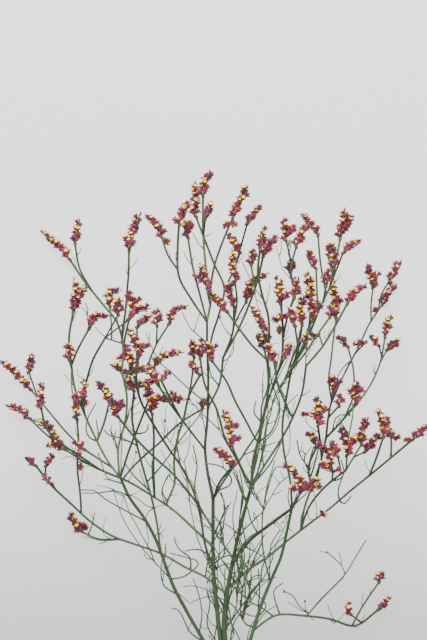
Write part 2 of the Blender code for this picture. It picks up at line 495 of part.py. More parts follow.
def head_axes(stalk, spines, own):
    """The axes of a head: the first goes on from the stalk, the others leave the first."""
    axes = []
    for spine in spines:
        start = axes[0].line[axes[0].nearest(spine[0])] if axes else stalk.line[-1]
        plan = smooth_line([tuple(start[:2])] + list(spine[1:]), SAMPLE_STEP)
        corners = resample(np.column_stack([plan, np.full(len(plan), start[2])]), CORE_STEP)
        onward = (corners[1] - corners[0]) / np.linalg.norm(corners[1] - corners[0])
        if own and not axes and stalk.ahead() @ onward < STRAIGHT_ENOUGH:
            corners = np.vstack([corners[:1], corners[:1] + stalk.ahead() * COLLAR, corners[1:]])
        axes.append(Stem(corners, CORE_ROOT, CORE_TIP))
    return axes


def head_balls(axes, skip):
    """The room that a head's florets take, without the first samples next to its stalk."""
    parts = []
    for axis in axes:
        share = np.linspace(0.0, 1.0, len(axis.line))
        parts.append(balls(axis.line, HEAD_REACH - REACH_TAPER * share))
    parts[0] = parts[0][skip:]
    return np.vstack(parts)


def head_room(body, own, parent, on_tip, green, taken):
    """The free distance round a head, to the heads before it and, for one of its own, to the stems."""
    room = gap_between(body[:, :3], body[:, 3:], taken)
    if own:
        near = [rods[:-OPEN_STALK_SAMPLES] if on_tip and name == parent else rods
                for name, rods in green.items()]
        room = min(room, gap_between(body[:, :3], body[:, 3:], near))
    return room


def arrange():
    """All stems and heads. A stalk tries heights round its own until its head is clear."""
    stems = {}
    for name, parent, height, root, tip, points in STEMS:
        stems[name] = grow(stems, parent, points, height, root, tip)
    green = {name: stem.balls() for name, stem in stems.items()}
    lengths = [sum(np.linalg.norm(np.diff(np.array(axis, float), axis=0), axis=1).sum() for axis in entry[4])
               for entry in STALKS]
    longest = set(sorted(range(len(STALKS)), key=lambda i: -lengths[i])[:HEAD_NODES])
    heads = []
    taken = []
    for index, (name, parent, height, points, spines) in enumerate(STALKS):
        own = index in longest
        holder = stems[parent]
        on_tip = np.linalg.norm(holder.line[-1, :2] - np.array(points[-1])) < ON_TIP
        best = None
        for k in range(1 if on_tip else HEIGHT_TRIES):
            offset = HEIGHT_STEP * ((k + 1) // 2) * (1 if k % 2 else -1)
            tall = max(height + offset, MIN_HEIGHT) if k else height
            stem = holder if on_tip else grow(stems, parent, points, tall)
            axes = head_axes(stem, spines, own)
            room = math.inf
            if axes:
                room = head_room(head_balls(axes, OPEN_HEAD_SAMPLES), own, parent, on_tip, green, taken)
            if not on_tip:
                room = min(room, gap_between(stem.line, stem.thick.max() / 2, taken))
            if best is None or room > best[0]:
                best = (room, stem, axes)
            if room > CLEARANCE:
                break
        stem, axes = best[1:]
        if not on_tip:
            key = name or "stalk_%03d" % (index + 1)
            stems[key] = stem
            green[key] = stem.balls()
        if axes:
            heads.append((own, stem, axes))
            if own:
                taken.append(head_balls(axes, 0))
    return stems, heads, taken


def barren_twigs(stems, taken):
    """The thin twigs without flowers. Each rises or sinks a little; one without room is left out."""
    holders = list(stems.values())
    twigs = []
    for index, points in enumerate(TWIGS):
        holder = min(holders, key=lambda stem: stem.distance(points[0]))
        start = holder.line[holder.nearest(points[0])]
        plan = smooth_line([tuple(start[:2])] + list(points[1:]), SAMPLE_STEP)
        root = min(TWIG_ROOT, TWIG_ROOT_SHARE * holder.thick[holder.nearest(points[0])])
        for slope in (TWIG_SLOPES[index % 2], TWIG_SLOPES[1 - index % 2], 0.0):
            tall = max(start[2] + slope * SAMPLE_STEP * len(plan), MIN_HEIGHT)
            twig = Stem(resample(raised(plan, start[2], tall), TWIG_STEP), root, TWIG_TIP)
            if gap_between(twig.line, TWIG_ROOT / 2, taken) > CLEARANCE:
                twigs.append(twig)
                holders.append(twig)
                break
    return twigs


def material(name, colour, roughness):
    """A plain dry finish."""
    made = bpy.data.materials.new(name)
    made.use_nodes = True
    surface = made.node_tree.nodes["Principled BSDF"]
    surface.inputs["Base Color"].default_value = colour
    surface.inputs["Roughness"].default_value = roughness
    surface.inputs["Metallic"].default_value = 0.0
    return made


def three_sided():
    """The outline that gives a thin rod three sides; its corners lie on a circle 1 mm across."""
    outline = bpy.data.curves.new("three_sided", "CURVE")
    spline = outline.splines.new("POLY")
    spline.points.add(2)
    for k, point in enumerate(spline.points):
        angle = math.radians(90 + 120 * k)
        point.co = (0.5 * MM * math.cos(angle), 0.5 * MM * math.sin(angle), 0.0, 1.0)
    spline.use_cyclic_u = True
    return bpy.data.objects.new("three_sided", outline)


def tube(name, corners, root, tip, collection, outline=None):
    """A four-sided rod, or one with the given outline, through the corners, as a closed mesh."""
    path = placed(corners)
    widths = np.linspace(root, tip, len(path))
    curve = bpy.data.curves.new(name, "CURVE")
    curve.dimensions = "3D"
    curve.bevel_depth = 0.5 * MM
    curve.bevel_resolution = 0
    if outline:
        curve.bevel_mode = "OBJECT"
        curve.bevel_object = outline
    curve.use_fill_caps = True
    spline = curve.splines.new("POLY")
    spline.points.add(len(path) - 1)
    for point, (x, y, z), width in zip(spline.points, path, widths):
        point.co = (x * MM, y * MM, z * MM, 1.0)
        point.radius = width
    rod = bpy.data.objects.new(name, curve)
    collection.objects.link(rod)
    return as_mesh(rod, collection, True)


def as_mesh(source, collection, weld):
    """A mesh object in place of a curve or of an object with modifiers."""
    bpy.context.view_layer.update()
    seen = source.evaluated_get(bpy.context.evaluated_depsgraph_get())
    mesh = bpy.data.meshes.new_from_object(seen)
    mesh.materials.clear()
    name = source.name
    matrix = source.matrix_world.copy()
    bpy.data.objects.remove(source)
    if weld:
        work = bmesh.new()
        work.from_mesh(mesh)
        bmesh.ops.remove_doubles(work, verts=work.verts, dist=0.00001)
        bmesh.ops.recalc_face_normals(work, faces=work.faces)
        work.to_mesh(mesh)
        work.free()
    made = bpy.data.objects.new(name, mesh)
    made.matrix_world = matrix
    collection.objects.link(made)
    return made


def floret_frames(corners, spacing):
    """Where the florets of one axis sit and which way each opens: two rows on the upper side."""
    spots = placed(corners)
    run = np.concatenate([[0.0], np.cumsum(np.linalg.norm(np.diff(spots, axis=0), axis=1))])
    count = max(2, int(round(run[-1] / spacing)))
    frames = []
    for k, share in enumerate(np.linspace(*FLORET_ROWS_SPAN, count)):
        low = min(int(np.searchsorted(run, share * run[-1], side="right")) - 1, len(spots) - 2)
        along = Vector(spots[low + 1] - spots[low]).normalized()
        spot = Vector(spots[low]) + along * (share * run[-1] - run[low])
        upper = Vector(UPPER_SIDE)
        upper = (upper - along * upper.dot(along)).normalized()
        across = along.cross(upper)
        turn = FLORET_SPREAD * (1 if k % 2 else -1)
        out = along * FLORET_FORWARD + upper * math.cos(turn) + across * math.sin(turn)
        frames.append((spot, out.normalized(), 1.0 - FLORET_TAPER * share))
    along = Vector(spots[-1] - spots[-2]).normalized()
    frames.append((Vector(spots[-1]) - along * LAST_FLORET_BACK, along, LAST_FLORET_SIZE))
    return frames


def floret(name, spot, out, size, collection):
    """A papery calyx: a narrow cone whose point is sunk in the core and whose mouth looks out."""
    length = FLORET_LENGTH * size
    work = bmesh.new()
    bmesh.ops.create_cone(work, cap_ends=True, segments=FLORET_SIDES, radius1=0.0,
                          radius2=FLORET_MOUTH * size / 2, depth=length)
    turn = Vector((0.0, 0.0, 1.0)).rotation_difference(out).to_matrix().to_4x4()
    middle = spot + out * (length / 2 - FLORET_SUNK)
    bmesh.ops.transform(work, matrix=Matrix.Translation(middle) @ turn,
                        verts=work.verts)
    for vert in work.verts:
        vert.co.z = max(vert.co.z, 0.0)
    bmesh.ops.scale(work, vec=(MM, MM, MM), verts=work.verts)
    mesh = bpy.data.meshes.new(name)
    work.to_mesh(mesh)
    work.free()
    made = bpy.data.objects.new(name, mesh)
    collection.objects.link(made)
    return made


def keep_outer_shell(mesh):
    """Fill the hollows that the union sealed and drop its scraps: only the largest shell stays."""
    work = bmesh.new()
    work.from_mesh(mesh)
    left = set(work.verts)
    shells = []
    while left:
        front = [left.pop()]
        shell = []
        while front:
            vert = front.pop()
            shell.append(vert)
            for edge in vert.link_edges:
                other = edge.other_vert(vert)
                if other in left:
                    left.remove(other)
                    front.append(other)
        shells.append(shell)
    shells.sort(key=len)
    for shell in shells[:-1]:
        bmesh.ops.delete(work, geom=shell, context="VERTS")
    bmesh.ops.triangulate(work, faces=work.faces)
    work.to_mesh(mesh)
    work.free()


def close_hair_edges(mesh):
    """Collapse the edges, far finer than anything on a flower, where two cuts of a union almost meet."""
    work = bmesh.new()
    work.from_mesh(mesh)
    bmesh.ops.dissolve_degenerate(work, dist=SHORTEST_EDGE * MM, edges=work.edges)
    bmesh.ops.triangulate(work, faces=work.faces)
    work.to_mesh(mesh)
    work.free()


def joined(name, pieces, finish, parts):
    """One solid from all the objects of a collection, by one union."""
    items = list(pieces.objects)
    first = items[0]
    pieces.objects.unlink(first)
    parts.objects.link(first)
    union = first.modifiers.new("union", "BOOLEAN")
    union.operation = "UNION"
    union.operand_type = "COLLECTION"
    union.collection = pieces
    union.solver = UNION_SOLVER
    solid = as_mesh(first, parts, False)
    keep_outer_shell(solid.data)
    solid.name = name
    solid.data.name = name
    solid.data.materials.append(finish)
    for item in items[1:]:
        bpy.data.objects.remove(item)
    bpy.data.collections.remove(pieces)
    return solid


def head_pieces(index, stalk, axes, gap, spacing, outline, collection):
    """The core and the florets of one head, as loose closed pieces."""
    for part, axis in enumerate(axes):
        corners = axis.corners.copy()
        if part == 0:
            corners[0] += stalk.ahead() * gap
        tube("core_%03d_%d" % (index, part), corners, CORE_ROOT, CORE_TIP, collection, outline)
        for k, (spot, out, size) in enumerate(floret_frames(corners, spacing)):
            floret("floret_%03d_%d_%d" % (index, part, k), spot, out, size, collection)


def main():
    for item in list(bpy.data.objects):
        bpy.data.objects.remove(item)
    parts = bpy.data.collections.new("dried_statice")
    bpy.context.scene.collection.children.link(parts)
    green = material("dried_stem", GREEN, 0.7)
    carmine = material("papery_flower", CARMINE, 0.75)

    stems, heads, taken = arrange()
    twigs = barren_twigs(stems, taken)

    outline = three_sided()
    rods = bpy.data.collections.new("stem_pieces")
    bpy.context.scene.collection.children.link(rods)
    for name, stem in stems.items():
        thin = stem.thick[0] < THREE_SIDED_BELOW
        tube(name, stem.corners, stem.thick[0], stem.thick[-1], rods, outline if thin else None)
    for k, twig in enumerate(twigs):
        tube("twig_%03d" % k, twig.corners, twig.thick[0], twig.thick[-1], rods, outline)

    number = 0
    for index, (own, stalk, axes) in enumerate(heads):
        if not own:
            head_pieces(index, stalk, axes, -ROOT_SUNK, FUSED_SPACING, outline, rods)
            continue
        number += 1
        pieces = bpy.data.collections.new("head_pieces")
        bpy.context.scene.collection.children.link(pieces)
        head_pieces(index, stalk, axes, GAP, FLORET_SPACING, outline, pieces)
        head = joined("head_%02d" % number, pieces, carmine, parts)
        close_hair_edges(head.data)
    joined("stem", rods, green, parts)
    bpy.data.objects.remove(outline)


main()
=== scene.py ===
"""Dried statice, laid on a pale floor and seen from straight above.

Plan points lie on a sheet: millimetres to the right of its left edge and millimetres down from its
top edge, as an eye EYE_HEIGHT above the floor sees the spray. The first half places every stem and
every head where the solids have them, and the second half draws them as finer surfaces.
Lengths are in millimetres and turns in degrees, where no other unit is named.
"""
import math

import bpy
import numpy as np
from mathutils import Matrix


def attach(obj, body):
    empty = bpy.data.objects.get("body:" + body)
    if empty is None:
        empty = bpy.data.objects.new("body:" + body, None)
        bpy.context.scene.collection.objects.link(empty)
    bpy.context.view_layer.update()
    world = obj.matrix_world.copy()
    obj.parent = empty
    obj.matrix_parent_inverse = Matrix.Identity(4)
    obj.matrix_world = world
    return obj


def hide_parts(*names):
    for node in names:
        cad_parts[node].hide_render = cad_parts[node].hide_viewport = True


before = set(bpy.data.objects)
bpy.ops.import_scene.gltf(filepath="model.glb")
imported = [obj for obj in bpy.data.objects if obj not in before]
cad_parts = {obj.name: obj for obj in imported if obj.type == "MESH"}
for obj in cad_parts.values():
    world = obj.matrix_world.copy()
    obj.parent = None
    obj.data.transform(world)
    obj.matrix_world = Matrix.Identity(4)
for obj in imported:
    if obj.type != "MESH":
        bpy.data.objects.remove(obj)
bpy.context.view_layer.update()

MM = 0.001
UP = np.array([0.0, 0.0, 1.0])
TINY = 1e-9
SEED = 7

# The sheet and the eye above it
EYE_HEIGHT = 2000.0
TRUE_SCALE_HEIGHT = 70.0
SHEET_MIDDLE = (213.5, 320.0)
SHEET_HEIGHT = 640.0
ORIGIN_ON_SHEET = (213.4, 487.3)

# Where the stems run
SAMPLE_STEP = 2.0
POINT_STEP = 26.0
CURVE_SAMPLES = 12
STALK_ROOT_SHARE = 0.72
STALK_MAX_ROOT = 1.9
STALK_TIP = 1.15
TWIG_ROOT = 1.0
TWIG_TIP = 0.75
TWIG_ROOT_SHARE = 0.7
TWIG_STEP = 22.0
TWIG_SLOPES = (-0.35, 0.35)
FINE_TWIG_STEP = 7.0
FINE_TWIG_TIP = 0.72
FINE_TWIG_SLOPES = (-0.2, 0.3)

# Where the flower heads lie, and the room between them
HEAD_NODES = 59
CORE_ROOT = 3.0
CORE_TIP = 1.8
CORE_STEP = 15.0
HEAD_REACH = 6.2
REACH_TAPER = 2.2
COLLAR = 2.4
STRAIGHT_ENOUGH = 0.995
CLEARANCE = 0.5
HEIGHT_STEP = 4.0
HEIGHT_TRIES = 25
MIN_HEIGHT = 6.0
ON_TIP = 2.5
OPEN_STALK_SAMPLES = 6
OPEN_HEAD_SAMPLES = 2

# Rods: main stems, stalks and twigs
FINE_STEP = 3.5
MAIN_SIDES = 14
STALK_SIDES = 7
TWIG_SIDES = 5
HAIR_SIDES = 4
RIB_DEPTH = 0.07
RIBBED_FROM = 2.2
FLARE = 0.35
FLARE_LENGTH = 3.0
ROOT_FADE = 18.0
TIP_POINT = 0.8
SLIMMER = 0.9
FULLER = 0.64
FULL_AT = (0.65, 1.2)
TWIG_FULLER = 1.85
WANDER_STEP = 4
WANDER_SIZE = 0.03
FOOT_SWELL = {"stout": 0.7, "mid": 0.45, "trunk": 0.15, "east": 0.15, "west": 0.1}
SWELL_LENGTH = 160.0
CROWDED = 3
CROWDED_SHARE = 0.55
CROWDED_LENGTH = 30.0
FORKS_OF_NODE = 2
NODE_REACH = 1.0
NODE_FULLER = 1.03
NODE_TONE = 0.8

# Hair-fine forks on the thin stems
FORK_COUNT = 90
FORK_POINTS = 7
FORKED_BELOW = 2.6
FORKED_ABOVE_POINTS = 8
FORK_PLACES = (0.25, 0.85)
FORK_LENGTH = (6.0, 17.0)
FORK_ONWARD = (0.6, 1.0)
FORK_ASIDE = (0.4, 0.9)
FORK_RISE = (-0.3, 0.4)
FORK_CURL_ONWARD = (0.1, 0.6)
FORK_CURL_BACK = (0.1, 0.5)
FORK_THICK = (1.1, 0.7)
FORK_TONE = 0.4

# The tangle at the foot of the spray
TANGLE_COUNT = 52
TANGLE_POINTS = 18
TANGLE_MIDDLE = (234.0, 592.0)
TANGLE_SPREAD = (14.0, 34.0)
TANGLE_LENGTH = (22.0, 70.0)
TANGLE_THICK = (1.3, 1.9)
TANGLE_TIP = 0.65
TANGLE_HEADING = 0.35
TANGLE_TURN = 1.15
TANGLE_SLOPE = (-0.3, 0.3)
WAVER_STEP = 6
WAVER_SIZE = 0.12

# Scale leaves
SCALE_LENGTH = (2.0, 3.4)
AXIL_RISE = (0.3, 1.0)
AXIL_SHARE = 0.42
AXIL_ONWARD = 0.6
AXIL_ASIDE = 0.3
AXIL_LEAN = 0.3
THIN_AXIL_BACK = 0.5
THIN_AXIL_LEAN = 0.2
THIN_AXIL_SHARE = 0.75
SCALE_FIRST = (5, 9)
SCALE_EVERY = (9, 16)
SCALE_BARE_POINTS = 3
STALK_SCALE_ASIDE = 0.3
STALK_SCALE_LEAN = 0.25
STALK_SCALE_SHARE = 0.65

# Florets
LOBES = 5
FLOWER_COLUMNS = 10
FLORET_STEP = 1.95
FLORET_FIRST = 0.05
FLORET_LENGTH = 7.5
FLORET_TAPER = 0.22
FLORET_SIDE = (0.0, 0.92, 0.38)
FLORET_SIZES = (0.76, 1.14)
FLORET_WIDTHS = (0.92, 1.2)
FLORET_TURNS = (-72.0, 58.0, -24.0, 76.0, -46.0, 30.0, 0.0)
FLORET_SHIFT = 0.01
FLORET_SWING = 12.0
FORWARD = 0.98
FORWARD_SPREAD = (-0.3, 0.35)
COROLLA_SHARE = 0.76
COROLLA_SIZE = 4.4
COROLLA_WIDTHS = (0.8, 1.15)
COROLLA_TURN = 50.0
COROLLA_SEAT = 0.74
RACHIS_THICK = (1.3, 0.6)
RACHIS_SIDES = 6
RACHIS_TONE = 0.3
LONE_ALONG = (0.0, 0.6, 1.4)
LONE_ASIDE = (0.75, -0.7, 0.1)
LONE_SIZES = (0.6, 0.85)
LONE_SHARE = 0.3
LONE_FACING = (True, False, True)
LONE_LEAN = (0.0, 1.0, 0.5)
LONE_RISE = (0.1, 0.5)

# Closed buds
BUD_COLUMNS = 6
BUD_SHARE = 0.86
BUD_LENGTH = 4.6
BUD_SIDE = (0.0, 0.75, 0.66)
BUD_TURNS = (0.0, 50.0, -50.0, 10.0)
BUD_LEANS = (0.15, 0.5, 0.55, 0.8)
BUD_SWING = 15.0
BUD_CROWD = 4.0
BUD_SIZES = (0.85, 1.1)
PAIR_LEANS = (-0.35, 0.3)
PAIR_SIZES = (0.8, 1.15)
PAIR_HEIGHT = 60.0

# Bracts under the florets and round the foot of a head
BRACT_LENGTH = 4.2
BRACT_SIZES = (0.8, 1.1)
BRACT_WIDE = 1.5
BRACT_BELOW = 0.7
BRACT_SAG = 0.38
BRACT_SWAY = 0.75
BRACT_SWAY_LEAN = 0.6
FOOT_BRACTS = 4
FOOT_BRACT_LENGTH = 5.0
FOOT_BRACT_SIZES = (0.85, 1.1)
FOOT_BRACT_BACK = (2.6, 0.4)
FOOT_BRACT_OUT = 0.5
FOOT_BRACT_LEAN = 0.22

# Finishes. A ramp's colours are linear and run along the form; grain and cloud are scales of noise
FINISHES = {
    "dried_stem_green": {
        "ramp": ((0.0, (0.070, 0.106, 0.048)), (1.0, (0.024, 0.052, 0.016))),
        "roughness": 0.62, "drift": 0.64, "grain": 900.0, "depth": 0.3, "hues": 0.02},
    "thin_stalk_green": {
        "ramp": ((0.0, (0.029, 0.057, 0.022)), (1.0, (0.036, 0.063, 0.023))),
        "roughness": 0.66, "drift": 0.64, "grain": 1200.0, "hues": 0.02},
    "pale_twig_green": {
        "ramp": ((0.0, (0.040, 0.074, 0.025)), (1.0, (0.070, 0.108, 0.042))),
        "roughness": 0.7, "drift": 0.64, "grain": 1200.0, "hues": 0.03},
    "cut_pith": {
        "ramp": ((0.35, (0.060, 0.070, 0.030)), (0.5, (0.120, 0.105, 0.050)),
                 (0.65, (0.300, 0.235, 0.120)), (0.8, (0.420, 0.350, 0.200)), (1.0, (0.560, 0.500, 0.330))),
        "roughness": 0.8, "drift": 0.15, "grain": 1500.0},
    "papery_scale_brown": {
        "ramp": ((0.0, (0.060, 0.060, 0.026)), (0.6, (0.085, 0.050, 0.026)), (1.0, (0.120, 0.075, 0.045))),
        "roughness": 0.8, "drift": 0.3, "grain": 500.0},
    "papery_calyx_carmine": {
        # The ramp paints shade inside the trumpet: darker in the throat, near black at its floor
        "ramp": ((0.0, (0.070, 0.060, 0.026)), (0.4, (0.135, 0.011, 0.028)),
                 (0.67, (0.290, 0.020, 0.068)), (0.8, (0.120, 0.008, 0.024)), (1.0, (0.045, 0.003, 0.010))),
        "roughness": 0.72, "drift": 0.6, "grain": 900.0, "sheen": 0.25, "depth": 0.45, "hues": 0.02,
        "cloud": 400.0},
    "corolla_yellow": {
        "ramp": ((0.0, (0.740, 0.480, 0.001)), (0.6, (0.820, 0.590, 0.001)), (1.0, (0.790, 0.430, 0.001))),
        "roughness": 0.7, "drift": 0.12, "grain": 520.0, "sheen": 0.1, "hues": 0.01},
    "closed_bud_maroon": {
        "ramp": ((0.0, (0.070, 0.060, 0.026)), (0.35, (0.070, 0.014, 0.020)), (1.0, (0.095, 0.010, 0.024))),
        "roughness": 0.7, "drift": 0.25, "grain": 520.0, "sheen": 0.1},
    "bract_olive": {
        "ramp": ((0.0, (0.050, 0.072, 0.026)), (0.6, (0.085, 0.078, 0.032)), (1.0, (0.130, 0.070, 0.045))),
        "roughness": 0.78, "drift": 0.3, "grain": 500.0},
}

# What all finishes share; the grain's depth is in metres
SPECULAR = 0.3
AGE_AND_CLOUD = (0.3, 1.7)
CLOUD_DETAIL = 2.0
GRAIN_DETAIL = 3.0
GRAIN_STRENGTH = 0.35
GRAIN_DEPTH = 0.0002

# Stage; the floor's painted shade fades in between two places along Y, in metres, and its glow is painted
# light
FLOOR_REACH = 6000.0
FLOOR_GAP = 0.3
FLOOR_PALE = (0.25, 0.25, 0.252)
# The grey is painted shade where the light falls off; the glow is painted light that thins the shadows
FLOOR_PAINTED_SHADE_GREY = (0.130, 0.130, 0.131)
FLOOR_PAINTED_SHADE_FADE = (-0.28, 0.14)
FLOOR_PAINTED_LIGHT_GLOW = 5.6
FLOOR_ROUGHNESS = 0.95
FLOOR_SPECULAR = 0.1
SKY_STRENGTH = 0.85
SENSOR_HEIGHT = 36.0

# Name, place in metres, side in metres, power in watts
LIGHTS = (("north_window", (-0.1, 1.4, 1.3), 2.0, 110.0), ("fill", (1.4, -0.4, 2.0), 2.4, 14.0))

# Plan points of the twig tips that carry a pair of closed buds
TIP_BUDS = (
    (113, 487), (117, 489), (95, 511), (90, 513), (167, 419), (173, 420), (180, 385), (289, 603),
    (305, 602), (311, 388), (306, 413), (200, 313), (270, 283), (143, 400), (193, 408), (339, 417),
    (136, 453), (305, 414),
)

# Plan points of the small floret clusters along the stalks
LONE_FLORETS = (
    (276, 331), (375, 311), (408, 440), (322, 515), (79, 456), (79, 467), (77, 404), (85, 403), (229, 208),
    (225, 225), (238, 225), (177, 222), (167, 242), (374, 284), (392, 284), (306, 415),
)

# Name, parent, height of the tip, thickness at root and tip, plan points
STEMS = (
    ("trunk", None, 26, 6.6, 5.8, ((238, 787), (236, 742), (234, 697))),
    ("mid", "trunk", 74, 4.6, 3.9, ((234, 697), (226, 665), (220, 638), (217, 608), (214, 580), (213, 550),
     (213, 522), (213, 498))),
    ("mid_top", "mid", 104, 3.4, 2.4, ((213, 498), (208, 475), (205, 450), (207, 425), (208, 400),
     (208, 370), (207, 345), (207, 322))),
    ("stout", "trunk", 86, 4.8, 3.6, ((234, 697), (228, 660), (224, 630), (226, 600), (232, 565),
     (238, 536), (244, 513), (251, 487))),
    ("west", "trunk", 62, 4.2, 3.2, ((234, 697), (222, 672), (203, 640), (190, 617), (177, 594), (168, 573),
     (159, 547), (146, 521), (128, 495), (119, 474))),
    ("far_west", "stout", 24, 2.9, 1.2, ((226, 594), (210, 580), (190, 570), (162, 554), (140, 546),
     (119, 539), (100, 529), (82, 514), (66, 499), (50, 484), (43, 475), (36, 466))),
    ("rung", "mid", 44, 3.4, 1.3, ((213, 546), (205, 540), (193, 528), (166, 504), (147, 493), (120, 477),
     (100, 470), (80, 460))),
    ("east", "trunk", 106, 4.4, 3.0, ((234, 697), (243, 665), (251, 638), (257, 617), (263, 600),
     (271, 580), (279, 562), (285, 543), (288, 522), (292, 507))),
    ("cross_east", "stout", 40, 3.4, 1.4, ((227, 590), (238, 577), (262, 561), (285, 543), (299, 530),
     (320, 517), (338, 501), (355, 487), (370, 475), (393, 456), (404, 448), (412, 440))),
    ("broad_east", "stout", 105, 4.0, 3.2, ((233, 562), (241, 552), (249, 541), (262, 531), (275, 520),
     (284, 513), (291, 509))),
    ("thin_mid", "stout", 78, 2.4, 1.3, ((231, 558), (222, 543), (205, 516), (190, 494), (176, 477),
     (153, 456), (137, 440), (126, 427), (118, 417))),
    ("west_line", "west", 66, 2.5, 1.4, ((121, 480), (110, 465), (97, 441), (88, 422), (81, 406), (76, 394),
     (73, 375), (71, 361), (69, 340), (71, 318), (73, 313))),
    ("west_rod", "west", 3.0, 2.6, 1.1, ((119, 474), (117, 458), (120, 440), (125, 422), (128, 408),
     (126, 392), (123, 378), (122, 363), (123, 345), (121, 330), (111, 314), (100, 301), (91, 290),
     (82, 278), (75, 268), (70, 260))),
    ("inner_rod", "west", 84, 2.4, 1.4, ((161, 552), (158, 530), (154, 508), (148, 485), (142, 465),
     (137, 445), (133, 425), (131, 405), (134, 391))),
    ("far_diagonal", "mid", 112, 2.2, 1.3, ((213, 570), (209, 560), (203, 535), (199, 510), (189, 480),
     (175, 458), (163, 440), (152, 422), (142, 404), (136, 388), (134, 376))),
    ("rise", "rung", 98, 2.2, 1.2, ((166, 504), (172, 493), (175, 478), (174, 460), (177, 440), (182, 425),
     (186, 408), (191, 389), (196, 381), (200, 375))),
    ("north_west", "mid_top", 110, 1.9, 1.2, ((207, 322), (200, 312), (190, 297), (183, 284), (177, 270),
     (178, 245), (179, 224))),
    ("north", "mid_top", 92, 2.1, 1.2, ((207, 322), (211, 306), (210, 290), (207, 275), (205, 262),
     (204, 247), (203, 230), (203, 211), (203, 197))),
    ("right_reach", "mid_top", 92, 2.3, 1.7, ((209, 407), (215, 399), (219, 386), (221, 372), (223, 358))),
    ("right_reach_top", "right_reach", 138, 1.8, 1.2, ((223, 358), (231, 344), (239, 328), (247, 310),
     (253, 294), (257, 283), (260, 267), (263, 257))),
    ("fan_axis", "stout", 108, 3.0, 2.0, ((251, 487), (253, 470), (256, 452), (260, 432), (264, 412),
     (268, 392), (269, 376), (268, 361))),
    ("fan_axis_top", "fan_axis", 150, 1.8, 1.1, ((268, 361), (268, 346), (270, 330), (268, 315), (265, 303),
     (261, 291), (258, 276), (259, 262), (260, 249))),
    ("fan_right", "stout", 120, 2.8, 1.9, ((251, 487), (262, 470), (272, 452), (283, 437), (292, 419),
     (299, 403), (303, 388), (305, 375), (306, 366))),
    ("fan_mid", "stout", 132, 2.2, 1.3, ((251, 487), (251, 470), (256, 448), (262, 425), (268, 400),
     (275, 380), (281, 362), (283, 340), (282, 320), (281, 305))),
    ("hidden_rod", "east", 118, 2.4, 1.8, ((294, 502), (290, 480), (285, 458), (282, 438), (283, 420),
     (286, 400), (289, 385), (291, 371))),
    ("far_right_rod", "cross_east", 62, 2.4, 1.7, ((299, 530), (303, 513), (308, 497), (314, 481),
     (320, 464), (323, 450), (326, 438))),
    ("low_right", "east", 12, 2.4, 1.0, ((254, 630), (263, 622), (272, 616), (290, 615), (307, 616),
     (330, 619), (350, 626), (361, 623), (371, 615), (378, 610))),
)

